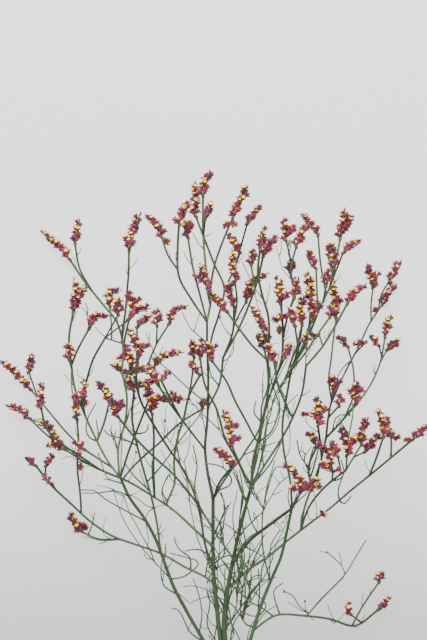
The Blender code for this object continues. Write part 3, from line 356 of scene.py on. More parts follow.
# Name, parent, height of the tip, plan points, axes of the head at the tip
STALKS = (
    ("", "west_rod", 8, ((75, 268), (70, 260)),
     (((70, 260), (62, 250), (52, 241), (42, 232)),)),
    ("", "west_rod", 44, ((92, 291), (85, 280), (79, 267), (76, 255), (75, 244)),
     (((75, 244), (76, 233), (79, 222)),)),
    ("", "west_rod", 92, ((122, 337), (125, 315), (127, 291), (129, 266), (129, 251)),
     (((129, 251), (132, 238), (140, 215)), ((130, 244), (125, 240)))),
    ("", "west_line", 60, ((71, 318), (73, 313)),
     (((73, 313), (74, 303), (77, 293), (74, 281)), ((75, 303), (82, 298), (86, 289)))),
    ("", "west_line", 84, ((73, 363), (80, 345), (85, 336), (89, 329)),
     (((89, 329), (92, 320), (99, 317), (107, 316)),)),
    ("", "west_line", 76, ((72, 368), (69, 360)), (((69, 360), (68, 353), (69, 346)),)),
    ("", "west_line", 78, ((85, 414), (83, 406), (82, 400)),
     (((82, 400), (82, 393), (86, 384)), ((82, 396), (75, 398)))),
    ("", "west_line", 52, ((112, 469), (107, 466), (95, 457), (85, 450)),
     (((85, 450), (81, 447), (76, 444)),)),
    ("", "west_line", 52, ((97, 441), (103, 425), (109, 412), (109, 403)),
     (((109, 403), (104, 391), (97, 383)),)),
    ("upright", "far_west", 38, ((82, 513), (81, 500), (79, 485), (77, 470), (79, 455), (78, 435), (77, 420)),
     (((77, 420), (77, 414), (75, 408)),)),
    ("west_low", "upright", 20, ((79, 445), (70, 437), (60, 425), (50, 413), (42, 403), (35, 394), (31, 390)),
     (((31, 390), (23, 383), (17, 376), (11, 370), (1, 362)),)),
    ("", "west_low", 40, ((37, 398), (31, 384), (29, 372)), (((29, 372), (29, 364), (33, 357)),)),
    ("", "rung", 80, ((100, 470), (80, 456), (58, 441), (48, 431), (43, 420), (41, 408)),
     (((41, 408), (40, 398), (41, 391), (43, 385)),)),
    ("", "rung", 14, ((100, 470), (78, 458), (58, 444), (48, 436), (38, 427), (30, 419)),
     (((30, 419), (24, 413), (15, 409), (7, 406)),)),
    ("", "rung", 44, ((87, 463), (76, 456), (66, 450)),
     (((66, 450), (59, 444), (53, 438), (51, 430), (44, 425), (35, 421)), ((59, 444), (49, 446)))),
    ("", "far_west", 20, ((43, 475), (36, 466)), (((36, 466), (33, 461), (27, 459)),)),
    ("", "far_west", 36, ((44, 477), (46, 466)), (((46, 466), (48, 461), (52, 456)),)),
    ("", "far_west", 40, ((57, 491), (52, 484)), (((52, 484), (48, 480), (44, 478)),)),
    ("low_west", "far_west", 14, ((119, 539), (105, 540), (90, 537), (80, 531)),
     (((80, 531), (77, 524), (70, 516)), ((78, 527), (85, 528)))),
    ("fork", "west_line", 96, ((81, 406), (84, 392), (87, 379), (92, 362), (98, 350), (105, 338)), ()),
    ("", "fork", 106, ((105, 338), (111, 326), (118, 315)), (((118, 315), (121, 308), (118, 301)),)),
    ("", "fork", 96, ((105, 338), (120, 327), (128, 320)),
     (((128, 320), (134, 313), (141, 309), (148, 309)),)),
    ("wave", "fork", 90, ((105, 338), (111, 342), (118, 347), (126, 344), (131, 346)), ()),
    ("", "wave", 76, ((111, 342), (112, 335), (111, 320), (110, 307)),
     (((110, 307), (108, 298), (112, 292), (119, 291)),)),
    ("", "west_rod", 70, ((123, 350), (126, 332), (130, 318), (131, 312)),
     (((131, 312), (128, 303), (128, 293)), ((130, 307), (137, 300)))),
    ("", "far_diagonal", 96, ((138, 394), (136, 372), (137, 348), (135, 338), (137, 327)),
     (((137, 327), (138, 320), (144, 316), (150, 317)),)),
    ("", "far_diagonal", 128, ((135, 381), (135, 372), (138, 359)),
     (((138, 359), (139, 349), (134, 340), (128, 330)), ((139, 352), (146, 346)))),
    ("", "west_rod", 98, ((124, 383), (127, 375), (131, 368)),
     (((131, 368), (128, 360), (124, 347)), ((127, 359), (120, 359)))),
    ("", "west_rod", 62, ((125, 392), (128, 385), (129, 378)),
     (((129, 378), (122, 373), (112, 366)), ((127, 377), (136, 371)))),
    ("", "inner_rod", 84, ((131, 405), (134, 391)),
     (((134, 391), (132, 384), (127, 380)), ((133, 387), (141, 386)))),
    ("", "thin_mid", 82, ((124, 425), (118, 417)),
     (((118, 417), (115, 409), (113, 400)), ((116, 411), (123, 404)))),
    ("long_left", "mid_top", 126, ((205, 449), (195, 437), (183, 421), (173, 408), (165, 396), (157, 383)),
     (((157, 383), (152, 376), (146, 370), (138, 369)), ((152, 377), (148, 386)))),
    ("", "long_left", 138, ((180, 417), (171, 400), (165, 388), (161, 380)),
     (((161, 380), (163, 375), (168, 373)),)),
    ("", "long_left", 104, ((161, 389), (155, 377), (154, 368)),
     (((154, 368), (161, 360), (169, 355), (181, 353)),)),
    ("tall_left", "long_left", 112, ((163, 393), (149, 372), (150, 356), (157, 344), (163, 335), (169, 324)),
     (((169, 324), (172, 314), (178, 309), (185, 307)),)),
    ("", "tall_left", 118, ((157, 344), (157, 335), (157, 326)), (((157, 326), (159, 318), (157, 311)),)),
    ("", "west", 88, ((121, 478), (127, 456), (133, 440), (139, 425), (143, 412), (149, 399)),
     (((149, 399), (150, 391), (148, 385)),)),
    ("", "rung", 92, ((155, 499), (154, 480), (153, 460), (155, 445), (153, 430), (152, 414)),
     (((152, 414), (150, 405), (156, 399), (164, 398), (173, 402), (183, 400)), ((167, 400), (174, 394)))),
    ("", "west", 70, ((121, 479), (132, 466), (141, 459), (152, 451), (162, 440), (172, 431), (183, 420),
                      (193, 414), (202, 409)), (((202, 409), (202, 403), (206, 400)),)),
    ("", "rise", 76, ((187, 402), (191, 384), (193, 368), (194, 357)),
     (((194, 357), (195, 349), (191, 342)),)),
    ("", "stout", 98, ((250, 482), (243, 472), (236, 458), (228, 443), (220, 427), (216, 405), (212, 393),
                       (204, 384), (200, 373), (200, 358)), (((200, 358), (200, 350), (203, 342)),)),
    ("", "rise", 104, ((197, 380), (200, 375)), (((200, 375), (197, 368), (190, 365)),)),
    ("", "fan_axis", 132, ((260, 445), (247, 423), (232, 395), (222, 372), (212, 361)),
     (((212, 361), (209, 353), (206, 346)), ((210, 355), (214, 347)))),
    ("", "stout", 110, ((249, 481), (245, 474), (239, 463), (235, 455), (232, 446)),
     (((232, 446), (231, 436), (229, 427), (225, 419), (223, 412)), ((231, 438), (238, 439)),
      ((229, 429), (236, 427)))),
    ("", "mid", 104, ((213, 502), (217, 488), (222, 478), (231, 468)),
     (((231, 468), (227, 460), (221, 455), (215, 450)),)),
    ("", "fan_axis", 124, ((267, 362), (260, 354), (250, 343), (240, 330), (233, 320), (227, 312)),
     (((227, 312), (220, 304), (213, 298), (209, 292)),)),
    ("", "north_west", 82, ((177, 270), (170, 260), (165, 246), (162, 238)),
     (((162, 238), (156, 226), (147, 217)),)),
    ("", "north_west", 108, ((178, 240), (179, 223)), (((179, 223), (184, 212), (190, 203)),)),
    ("", "mid_top", 100, ((207, 322), (203, 306), (198, 288), (194, 272), (190, 255), (188, 238)),
     (((188, 238), (186, 230), (184, 223)), ((187, 233), (191, 224)))),
    ("crossing", "mid_top", 66, ((208, 362), (211, 340), (217, 320), (222, 304), (225, 291), (217, 272),
                                 (211, 255), (204, 238), (199, 226), (196, 217)),
     (((196, 217), (196, 206), (195, 195), (195, 184)),)),
    ("north_fork", "crossing", 70, ((225, 291), (229, 281), (235, 266), (240, 253)),
     (((240, 253), (233, 244), (228, 236)),)),
    ("", "north_fork", 96, ((235, 266), (241, 246), (247, 224)), (((247, 224), (254, 214), (260, 207)),)),
    ("", "north", 92, ((203, 211), (203, 198)), (((203, 198), (205, 186), (209, 173)),)),
    ("", "north", 112, ((204, 236), (205, 219)), (((205, 219), (209, 210), (211, 204)),)),
    ("", "north", 122, ((210, 290), (213, 270), (220, 250), (226, 232), (233, 217)),
     (((233, 217), (239, 206), (244, 196), (247, 188)),)),
    ("", "north", 124, ((211, 306), (208, 297), (207, 289)),
     (((207, 289), (204, 277), (200, 266)), ((205, 281), (196, 278)))),
    ("trio", "right_reach", 118, ((223, 358), (229, 341), (236, 324), (236, 314), (234, 307)),
     (((234, 307), (230, 299), (228, 291), (230, 284)),)),
    ("", "trio", 130, ((236, 324), (237, 306), (235, 292), (235, 282)),
     (((235, 282), (233, 267), (232, 253)),)),
    ("", "trio", 112, ((236, 325), (241, 313), (246, 302)),
     (((246, 302), (245, 294), (249, 287), (257, 282), (266, 275)),)),
    ("", "right_reach_top", 140, ((260, 267), (263, 257)), (((263, 257), (270, 246), (277, 239)),)),
    ("", "fan_axis_top", 118, ((258, 276), (258, 262), (259, 250)), (((259, 250), (263, 238), (264, 228)),)),
    ("", "right_reach_top", 124, ((255, 288), (252, 277), (251, 265)),
     (((251, 265), (253, 258), (253, 251)),)),
    ("", "fan_axis_top", 140, ((268, 345), (266, 337), (263, 331)), (((263, 331), (259, 321), (252, 309)),)),
    ("", "fan_axis", 90, ((268, 368), (266, 355), (264, 348)),
     (((264, 348), (261, 342), (258, 336)), ((262, 344), (267, 338)))),
    ("", "fan_right", 142, ((293, 418), (284, 400), (277, 382), (275, 370), (275, 362)),
     (((275, 362), (272, 355), (267, 348)),)),
    ("", "fan_mid", 140, ((282, 320), (281, 305)),
     (((281, 305), (279, 296), (279, 286), (277, 278)), ((280, 299), (286, 296)))),
    ("east_wand", "fan_mid", 112, ((283, 337), (286, 322), (290, 308), (294, 296), (294, 284), (291, 272),
                                  (291, 262), (296, 247)), (((296, 247), (301, 236), (308, 226)),)),
    ("", "east_wand", 136, ((287, 318), (289, 308), (294, 298)), (((294, 298), (292, 289), (298, 280)),)),
    ("", "east_wand", 102, ((294, 290), (292, 280), (290, 273)), (((290, 273), (287, 267), (293, 263)),)),
    ("", "east_wand", 100, ((291, 264), (288, 253), (286, 241)),
     (((286, 241), (285, 230), (284, 220)), ((286, 236), (294, 229)))),
    ("", "east_wand", 134, ((285, 330), (288, 314)), (((288, 314), (282, 315), (276, 321)),)),
    ("", "hidden_rod", 152, ((291, 371), (297, 352), (296, 339), (295, 326)),
     (((295, 326), (294, 318), (289, 311)),)),
    ("", "hidden_rod", 120, ((291, 371), (297, 354), (301, 338), (302, 325)),
     (((302, 325), (300, 314), (301, 305), (303, 298)),)),
    ("deep", "hidden_rod", 112, ((291, 371), (298, 356), (305, 340), (310, 327), (312, 321)),
     (((312, 321), (313, 310), (311, 299)), ((313, 314), (319, 304)))),
    ("", "deep", 126, ((308, 332), (310, 315), (310, 300)), (((310, 300), (309, 287), (308, 274)),)),
    ("reach", "hidden_rod", 86, ((291, 371), (299, 355), (307, 338), (315, 321), (322, 303), (330, 286),
                                (334, 270), (338, 252), (340, 239)),
     (((340, 239), (343, 225), (344, 211)), ((342, 230), (352, 219)))),
    ("", "reach", 70, ((326, 295), (323, 282), (321, 268), (320, 252), (318, 236)),
     (((318, 236), (310, 225), (302, 216)),)),
    ("", "reach", 102, ((318, 313), (317, 292), (316, 269)), (((316, 269), (312, 261), (308, 254)),)),
    ("", "reach", 104, ((330, 286), (336, 275), (341, 262), (343, 253)),
     (((343, 253), (350, 246), (359, 241)),)),
    ("", "reach", 70, ((333, 276), (330, 266), (329, 259)), (((329, 259), (327, 252), (332, 246)),)),
    ("", "reach", 112, ((323, 301), (325, 293), (326, 286)), (((326, 286), (327, 279), (328, 272)),)),
    ("", "reach", 90, ((330, 286), (333, 276), (333, 269)), (((333, 269), (334, 262), (335, 256)),)),
    ("side_reach", "fan_right", 88, ((306, 366), (315, 356), (325, 343), (333, 330), (340, 316), (347, 304)),
     (((347, 304), (355, 294), (364, 286)),)),
    ("", "side_reach", 70, ((322, 347), (321, 340), (319, 335)), (((319, 335), (314, 335), (309, 338)),)),
    ("", "hidden_rod", 108, ((291, 371), (300, 359), (311, 346), (320, 330), (330, 317)),
     (((330, 317), (331, 310)),)),
    ("", "hidden_rod", 126, ((291, 371), (300, 356), (306, 344)), (((306, 344), (306, 338)),)),
    ("", "fan_mid", 144, ((278, 376), (281, 367), (284, 359)), (((284, 359), (286, 352), (291, 346)),)),
    ("outer_rod", "far_right_rod", 76, ((326, 438), (328, 420), (330, 404), (333, 394)),
     (((333, 394), (333, 386), (331, 378)), ((333, 389), (339, 381)))),
    ("", "outer_rod", 60, ((331, 401), (328, 390), (331, 360), (333, 342), (334, 328), (336, 319)),
     (((336, 319), (334, 306), (335, 294), (334, 283)), ((335, 309), (340, 300)))),
    ("far_reach", "outer_rod", 2.4, ((330, 405), (337, 389), (345, 373), (352, 359), (361, 342), (368, 327),
                                   (372, 316), (378, 308), (382, 305)),
     (((382, 305), (388, 295), (395, 286)),)),
    ("", "far_reach", 46, ((370, 321), (371, 305), (373, 288)),
     (((373, 288), (370, 277), (368, 266)), ((372, 282), (377, 275)))),
    ("", "far_reach", 34, ((377, 310), (381, 296), (385, 287), (389, 281)),
     (((389, 281), (394, 271), (400, 263)),)),
    ("", "far_reach", 60, ((355, 353), (363, 348), (366, 342)), (((366, 342), (361, 340), (357, 345)),)),
    ("far_fork", "far_right_rod", 84, ((326, 438), (338, 425), (350, 413), (354, 406)),
     (((354, 406), (356, 397), (354, 382)), ((356, 399), (350, 393)), ((355, 394), (361, 390)))),
    ("far_bow", "far_fork", 38, ((343, 421), (361, 399), (370, 386), (376, 371), (381, 360), (383, 348),
                                 (385, 337)),
     (((385, 337), (384, 330), (387, 323), (390, 317)),)),
    ("", "far_bow", 26, ((380, 363), (385, 356), (387, 350)), (((387, 350), (391, 344), (398, 342)),)),
    ("", "far_bow", 56, ((382, 356), (381, 350), (379, 346)), (((379, 346), (376, 340), (371, 338)),)),
    ("", "far_fork", 56, ((345, 418), (353, 398), (354, 378), (352, 362), (348, 347)),
     (((348, 347), (344, 341), (339, 339)),)),
    ("inner_east", "cross_east", 74, ((299, 530), (307, 512), (314, 498), (327, 485), (336, 477), (346, 470)),
     ()),
    ("", "inner_east", 82, ((346, 470), (348, 463), (347, 456)),
     (((347, 456), (347, 446), (343, 438), (341, 428)), ((347, 450), (354, 442), (357, 436)))),
    ("inner_fork", "inner_east", 56, ((346, 470), (354, 464), (359, 457), (361, 445)),
     (((361, 445), (363, 435), (362, 428), (367, 420)),)),
    ("", "inner_fork", 44, ((358, 460), (363, 456), (365, 452)),
     (((365, 452), (368, 445), (374, 443), (379, 436)),)),
    ("", "cross_east", 62, ((370, 475), (375, 462), (380, 446), (383, 438)),
     (((383, 438), (383, 428), (381, 420), (379, 411)), ((382, 427), (388, 422)))),
    ("", "cross_east", 28, ((392, 457), (392, 446), (391, 437)),
     (((391, 437), (389, 430), (384, 426)), ((390, 434), (395, 438)))),
    ("", "cross_east", 34, ((405, 447), (412, 440)), (((412, 440), (417, 434), (422, 431), (428, 427)),)),
    ("", "east", 128, ((291, 511), (296, 502), (300, 493)),
     (((300, 493), (301, 486), (296, 477), (291, 470), (285, 465)), ((301, 487), (309, 482), (318, 481)),
      ((300, 489), (310, 489), (320, 487)), ((299, 491), (294, 489)))),
    ("", "inner_east", 92, ((331, 482), (333, 472)),
     (((333, 472), (327, 468), (321, 466)), ((330, 470), (334, 462), (328, 456)))),
    ("", "inner_east", 104, ((342, 473), (340, 464), (338, 457)), (((338, 457), (335, 450), (331, 444)),)),
    ("", "far_right_rod", 84, ((311, 489), (308, 472), (311, 459), (316, 448)),
     (((316, 448), (314, 439), (309, 434)), ((317, 446), (324, 447), (329, 452)))),
    ("", "far_right_rod", 110, ((322, 457), (320, 441), (318, 426)),
     (((318, 426), (319, 416), (318, 399)), ((319, 418), (313, 415)), ((319, 412), (327, 409)))),
    ("", "outer_rod", 82, ((329, 418), (334, 411), (339, 406)), (((339, 406), (341, 399)),)),
    ("", "low_right", 12, ((371, 615), (378, 610)), (((378, 610), (383, 605), (389, 600)),)),
    ("", "low_right", 24, ((351, 626), (358, 613), (368, 598), (376, 585), (379, 582)),
     (((379, 582), (380, 574)),)),
    ("", "low_right", 22, ((362, 622), (356, 619), (351, 615)), (((351, 615), (347, 611), (347, 606)),)),
)

# Plan points of the barren twigs; each leaves the stem that passes closest to its first point
TWIGS = (
    ((170, 579), (185, 576), (199, 563), (188, 558), (170, 553)),
    ((177, 594), (165, 587), (161, 575), (162, 560)),
    ((205, 643), (190, 632), (180, 612), (172, 608)),
    ((222, 650), (210, 632), (207, 620), (210, 603), (207, 590)),
    ((190, 570), (190, 558), (178, 548), (174, 537)),
    ((214, 532), (219, 523), (225, 510), (221, 492)),
    ((222, 543), (221, 520), (228, 505)),
    ((146, 521), (128, 512), (105, 499), (95, 491), (81, 490)),
    ((128, 495), (115, 491), (98, 493), (82, 493)),
    ((122, 486), (110, 480), (104, 479)),
    ((113, 480), (107, 478), (102, 465), (98, 453)),
    ((97, 441), (90, 438), (86, 430), (88, 418), (96, 403)),
    ((100, 441), (98, 432), (96, 420)),
    ((137, 446), (121, 438), (110, 436), (104, 430)),
    ((120, 452), (115, 440), (110, 430)),
    ((137, 432), (146, 432), (148, 424)),
    ((148, 490), (133, 475), (124, 462)),
    ((165, 503), (162, 490), (168, 475)),
    ((147, 484), (165, 461), (175, 447), (187, 431), (203, 411)),
    ((184, 463), (177, 445), (178, 430)),
    ((193, 495), (195, 480), (197, 465), (193, 445)),
    ((207, 403), (190, 390), (173, 374), (161, 364)),
    ((260, 422), (254, 413), (256, 401)),
    ((217, 492), (230, 485), (231, 478), (222, 467), (205, 463)),
    ((270, 472), (262, 455)),
    ((270, 582), (263, 550), (262, 530), (263, 510), (268, 488), (275, 468), (283, 467)),
    ((263, 509), (272, 495), (279, 484), (290, 475)),
    ((298, 465), (300, 455), (297, 440)),
    ((224, 632), (240, 608), (262, 580), (272, 560)),
    ((270, 580), (270, 560), (271, 545), (280, 530)),
    ((260, 619), (266, 605), (252, 590), (249, 585), (252, 577), (262, 575)),
    ((272, 616), (262, 608), (247, 600), (240, 590), (236, 577)),
    ((254, 627), (246, 624), (241, 615), (240, 600)),
    ((245, 546), (256, 552), (268, 560)),
    ((338, 500), (344, 504), (351, 496)),
    ((337, 500), (338, 490), (345, 470)),
    ((331, 482), (340, 479), (344, 472), (341, 460)),
    ((331, 430), (335, 420), (339, 415), (349, 415)),
    ((307, 615), (320, 600), (334, 586), (346, 573), (355, 558), (366, 540)),
    ((345, 574), (341, 565), (326, 551)),
    ((281, 615), (275, 600), (274, 590), (283, 583)),
    ((307, 614), (299, 606), (293, 596), (285, 592)),
    ((89, 537), (92, 526), (94, 516)),
)

# Thickness at the root, and the plan points of each fine twig from its root
FINE_TWIGS = (
    (2.7, (
        ((214, 497), (221, 485), (232, 469), (240, 460), (246, 450), (255, 437), (260, 426), (261, 415),
         (262, 404), (267, 390), (268, 378), (267, 366)),
    )),
    (2.1, (
        ((263, 444), (271, 432), (277, 417), (279, 405), (275, 392), (271, 380), (270, 367)),
        ((252, 486), (262, 474), (270, 464), (277, 451), (282, 440)),
        ((306, 478), (309, 465), (312, 452), (314, 446)),
        ((309, 480), (315, 462), (318, 450)),
        ((314, 482), (320, 463), (322, 452)),
        ((346, 470), (347, 455), (348, 440), (351, 425), (353, 412), (352, 402)),
        ((76, 422), (74, 405), (72, 390), (71, 372)),
        ((153, 496), (153, 483), (152, 472), (152, 461)),
        ((244, 500), (241, 492), (238, 482), (233, 472)),
    )),
    (1.8, (
        ((251, 487), (254, 467), (258, 452), (261, 436), (263, 424), (270, 410), (276, 397), (282, 386),
         (289, 374), (292, 357), (295, 345)),
        ((251, 486), (256, 476), (260, 465), (263, 453), (265, 441), (267, 425), (271, 412), (273, 400),
         (278, 389), (284, 380), (290, 370), (300, 356), (307, 345)),
    )),
    (1.7, (
        ((265, 502), (267, 486), (271, 473), (275, 460)),
        ((240, 466), (245, 479), (249, 489), (255, 497), (258, 501)),
        ((285, 375), (291, 360), (297, 345), (300, 330)),
        ((214, 385), (211, 375), (209, 363)),
        ((297, 300), (296, 290), (295, 277)),
        ((288, 262), (288, 251), (289, 240)),
        ((351, 360), (342, 369), (337, 378)),
        ((236, 540), (243, 531), (251, 523), (259, 515), (265, 509), (266, 500)),
        ((291, 508), (299, 500), (305, 495), (309, 489)),
        ((292, 507), (295, 500), (297, 493)),
        ((299, 529), (301, 518), (305, 506), (309, 492)),
        ((253, 488), (254, 472), (258, 455), (260, 440), (261, 425), (261, 410), (264, 398)),
        ((255, 487), (258, 470), (262, 452), (264, 436), (267, 420), (268, 405), (267, 395)),
        ((256, 530), (251, 521), (247, 506), (243, 495), (240, 484), (236, 474), (233, 468)),
        ((264, 511), (258, 500), (254, 491), (250, 482), (245, 474), (239, 463)),
    )),
    (1.4, (
        ((170, 579), (160, 568), (150, 557), (142, 548), (132, 534), (124, 521), (120, 511), (116, 499),
         (114, 491)),
        ((154, 562), (150, 550), (142, 536), (137, 526), (131, 516), (127, 506), (124, 496)),
        ((154, 508), (147, 506), (138, 499), (130, 495)),
        ((210, 575), (208, 560), (205, 545), (203, 528), (201, 512), (198, 498), (195, 490), (191, 480)),
        ((209, 565), (203, 552), (197, 537), (193, 520), (190, 505), (189, 490), (187, 478)),
        ((205, 520), (197, 500), (191, 486), (187, 474), (184, 462)),
        ((121, 474), (121, 460), (122, 440), (123, 430), (127, 418), (129, 408)),
        ((121, 440), (120, 425), (119, 416)),
        ((123, 427), (128, 418), (131, 407), (135, 399)),
        ((263, 443), (270, 436), (276, 428), (279, 418), (280, 405), (279, 395)),
        ((292, 418), (288, 412), (284, 402), (281, 395)),
        ((284, 413), (287, 405), (292, 400), (298, 394)),
        ((237, 461), (231, 450), (224, 439), (219, 428), (217, 415), (215, 403)),
        ((119, 540), (104, 541), (92, 538), (84, 533)),
        ((307, 615), (320, 601), (334, 587), (344, 577)),
        ((240, 545), (240, 556), (243, 565), (246, 575), (247, 585)),
        ((219, 600), (218, 585), (217, 570), (219, 555), (220, 540)),
        ((230, 618), (235, 611), (237, 603), (236, 592), (234, 582), (231, 577)),
        ((236, 645), (234, 634), (231, 624)),
        ((316, 484), (318, 475), (320, 463), (322, 455), (319, 448)),
        ((308, 472), (311, 460), (315, 450)),
        ((206, 448), (205, 430), (203, 420), (201, 410)),
        ((219, 429), (210, 421), (200, 412), (190, 400)),
        ((185, 421), (192, 415), (200, 410)),
        ((247, 455), (254, 450), (262, 443)),
        ((290, 508), (288, 499), (289, 488), (291, 478)),
        ((222, 645), (219, 622), (216, 605), (212, 588), (213, 575)),
        ((279, 392), (286, 375), (293, 358), (299, 342), (301, 325)),
        ((285, 380), (292, 365), (299, 348), (306, 332), (312, 318)),
        ((270, 398), (276, 382), (283, 368), (290, 355)),
        ((285, 400), (279, 385), (275, 372), (273, 360)),
        ((266, 396), (272, 380), (277, 366), (279, 352)),
        ((259, 300), (254, 287), (248, 274), (242, 262)),
        ((71, 328), (73, 320), (77, 311)),
        ((90, 317), (86, 312), (81, 307)),
        ((91, 316), (88, 309), (85, 303)),
        ((121, 342), (125, 325), (128, 318)),
        ((120, 338), (119, 328), (117, 318)),
        ((204, 250), (198, 243), (193, 233)),
        ((200, 341), (192, 330), (186, 320), (182, 312)),
        ((161, 363), (154, 352), (149, 341), (146, 334)),
        ((306, 368), (306, 352), (308, 340), (309, 332)),
        ((228, 337), (224, 328), (220, 318)),
    )),
    (1.1, (
        ((247, 456), (259, 449), (271, 444), (282, 440)),
        ((284, 281), (283, 270), (279, 256), (276, 246)),
        ((119, 455), (117, 448), (113, 440), (116, 431)),
        ((80, 457), (81, 465), (87, 467), (92, 463)),
        ((204, 237), (208, 236), (213, 233)),
        ((122, 344), (121, 335), (119, 327)),
        ((107, 339), (101, 334), (95, 327)),
        ((347, 433), (342, 425), (339, 417)),
        ((304, 396), (308, 392), (311, 389)),
        ((311, 433), (307, 424), (306, 414)),
        ((309, 616), (312, 620), (314, 621)),
        ((330, 618), (334, 624), (336, 624), (333, 618), (329, 610), (328, 605)),
        ((306, 614), (298, 609), (292, 604), (288, 602)),
        ((306, 613), (305, 607), (305, 602)),
        ((118, 539), (108, 538), (103, 533), (103, 528), (106, 518)),
        ((124, 497), (119, 494), (114, 491)),
        ((154, 508), (148, 512), (146, 518), (147, 530), (149, 540), (147, 548)),
        ((154, 509), (160, 506), (166, 505)),
        ((160, 537), (162, 533), (165, 529)),
        ((168, 571), (171, 564), (174, 556)),
        ((163, 560), (166, 552), (167, 548), (165, 544)),
        ((153, 538), (158, 532), (160, 528)),
        ((165, 580), (164, 570), (165, 560), (166, 552)),
        ((152, 560), (146, 558), (144, 553)),
        ((158, 448), (162, 440), (165, 433), (165, 422)),
        ((162, 440), (167, 434), (168, 426)),
        ((166, 438), (172, 445), (176, 449), (181, 460), (184, 463)),
        ((186, 495), (178, 480), (172, 468), (166, 460), (161, 450)),
        ((166, 505), (162, 497), (162, 488), (166, 480), (170, 474), (169, 464)),
        ((170, 474), (172, 480), (177, 484), (184, 485)),
        ((185, 462), (188, 452), (190, 440), (190, 430), (189, 420)),
        ((188, 500), (187, 485), (185, 468)),
        ((243, 500), (241, 487), (238, 478), (235, 471)),
        ((224, 497), (217, 488), (211, 479), (208, 474)),
        ((250, 470), (248, 462), (246, 456)),
        ((256, 488), (258, 470), (261, 458), (262, 445)),
        ((286, 458), (289, 452), (290, 445), (290, 433), (289, 420), (287, 405)),
        ((284, 413), (277, 404), (274, 398)),
        ((270, 423), (276, 420), (283, 415)),
        ((298, 464), (303, 458), (309, 450), (312, 446)),
        ((308, 474), (313, 463), (319, 457)),
        ((307, 508), (308, 518), (312, 520), (316, 518), (317, 508), (315, 500), (314, 492)),
        ((272, 560), (275, 548), (279, 538), (283, 530), (287, 520), (285, 513)),
        ((219, 622), (214, 605), (210, 590), (209, 578), (209, 565)),
        ((214, 603), (209, 600), (207, 593), (207, 583)),
        ((236, 590), (240, 584), (245, 576), (247, 570)),
        ((259, 615), (252, 616), (246, 613), (241, 611)),
        ((256, 520), (253, 515), (255, 510), (256, 517), (258, 524), (257, 530)),
        ((254, 534), (250, 540), (253, 546), (255, 552)),
        ((177, 592), (183, 597), (187, 601), (192, 604)),
        ((219, 545), (221, 535), (224, 526), (223, 520)),
        ((215, 628), (211, 624), (208, 617)),
        ((236, 560), (239, 568), (240, 580), (244, 592), (249, 600)),
        ((192, 623), (189, 628), (187, 633)),
        ((82, 381), (77, 375), (78, 369)),
        ((77, 386), (71, 383), (64, 374)),
        ((82, 463), (78, 460), (66, 456), (62, 459)),
        ((256, 289), (256, 300), (259, 310), (261, 322), (262, 331)),
        ((267, 305), (268, 295), (270, 283)),
        ((264, 400), (262, 388), (263, 376), (264, 370)),
        ((222, 362), (230, 357), (234, 348), (232, 338)),
        ((221, 374), (225, 366), (231, 352), (235, 340)),
        ((195, 333), (197, 322), (200, 312)),
    )),
    (0.9, (
        ((165, 433), (163, 424), (161, 419)),
        ((167, 438), (163, 435), (161, 432)),
        ((165, 420), (166, 415), (165, 410), (168, 405)),
        ((172, 440), (175, 430), (174, 422)),
        ((176, 445), (179, 435), (177, 428), (176, 416)),
        ((147, 456), (144, 452), (143, 445)),
        ((133, 470), (134, 460), (136, 453)),
        ((129, 478), (133, 473), (134, 466)),
        ((146, 488), (142, 478), (140, 470), (138, 466)),
        ((144, 484), (141, 474), (140, 469)),
        ((116, 438), (114, 433), (116, 430)),
        ((186, 416), (191, 413), (193, 408)),
        ((246, 476), (243, 480), (244, 484)),
        ((251, 468), (248, 472), (246, 476)),
        ((196, 463), (193, 458), (192, 454)),
        ((264, 459), (267, 455)),
        ((261, 450), (268, 445), (276, 442), (283, 440)),
        ((292, 418), (293, 408), (295, 400)),
        ((304, 456), (301, 451)),
        ((305, 474), (304, 470), (303, 466)),
        ((280, 478), (281, 474), (280, 470)),
        ((258, 492), (264, 487), (268, 485)),
        ((280, 486), (275, 478), (270, 473)),
        ((124, 496), (122, 503), (121, 510)),
        ((163, 503), (166, 499), (170, 496)),
        ((170, 497), (174, 495), (178, 494)),
        ((162, 534), (164, 540)),
        ((159, 528), (161, 524)),
        ((212, 532), (206, 526), (202, 522), (197, 520), (194, 516)),
        ((221, 560), (225, 554), (229, 547)),
        ((252, 568), (256, 558), (260, 548), (263, 540)),
        ((290, 512), (285, 518), (283, 524), (280, 525), (281, 520), (284, 521)),
        ((276, 520), (281, 526), (284, 531)),
        ((276, 522), (270, 523), (266, 525), (263, 528)),
        ((274, 527), (279, 528), (283, 533), (287, 535)),
        ((288, 527), (292, 530), (294, 533)),
        ((274, 524), (272, 517)),
        ((208, 617), (204, 614), (203, 610)),
        ((207, 629), (202, 628), (199, 624)),
        ((226, 632), (231, 630), (234, 634)),
        ((239, 592), (237, 590), (236, 588)),
        ((306, 456), (302, 450)),
        ((256, 298), (259, 303), (263, 304)),
        ((236, 335), (242, 328), (247, 323)),
        ((283, 337), (288, 330), (288, 322)),
        ((283, 341), (287, 337), (291, 335)),
        ((274, 346), (276, 344), (279, 343)),
        ((304, 384), (301, 380), (300, 376)),
        ((326, 341), (324, 336), (325, 330)),
        ((131, 267), (135, 263), (137, 258)),
        ((192, 261), (194, 258), (195, 255)),
        ((162, 355), (163, 347)),
        ((78, 270), (75, 263), (74, 256)),
        ((172, 259), (170, 251)),
        ((370, 473), (366, 466), (365, 459)),
        ((348, 432), (342, 423)),
        ((376, 373), (372, 368), (373, 364)),
        ((237, 320), (243, 316)),
        ((350, 625), (359, 628)),
        ((362, 621), (365, 613)),
        ((371, 595), (371, 588)),
        ((242, 611), (250, 616), (258, 615)),
        ((94, 517), (95, 511)),
        ((93, 519), (90, 513)),
        ((130, 496), (136, 493), (141, 490)),
        ((134, 415), (142, 411)),
        ((133, 408), (138, 404), (140, 401)),
    )),
)


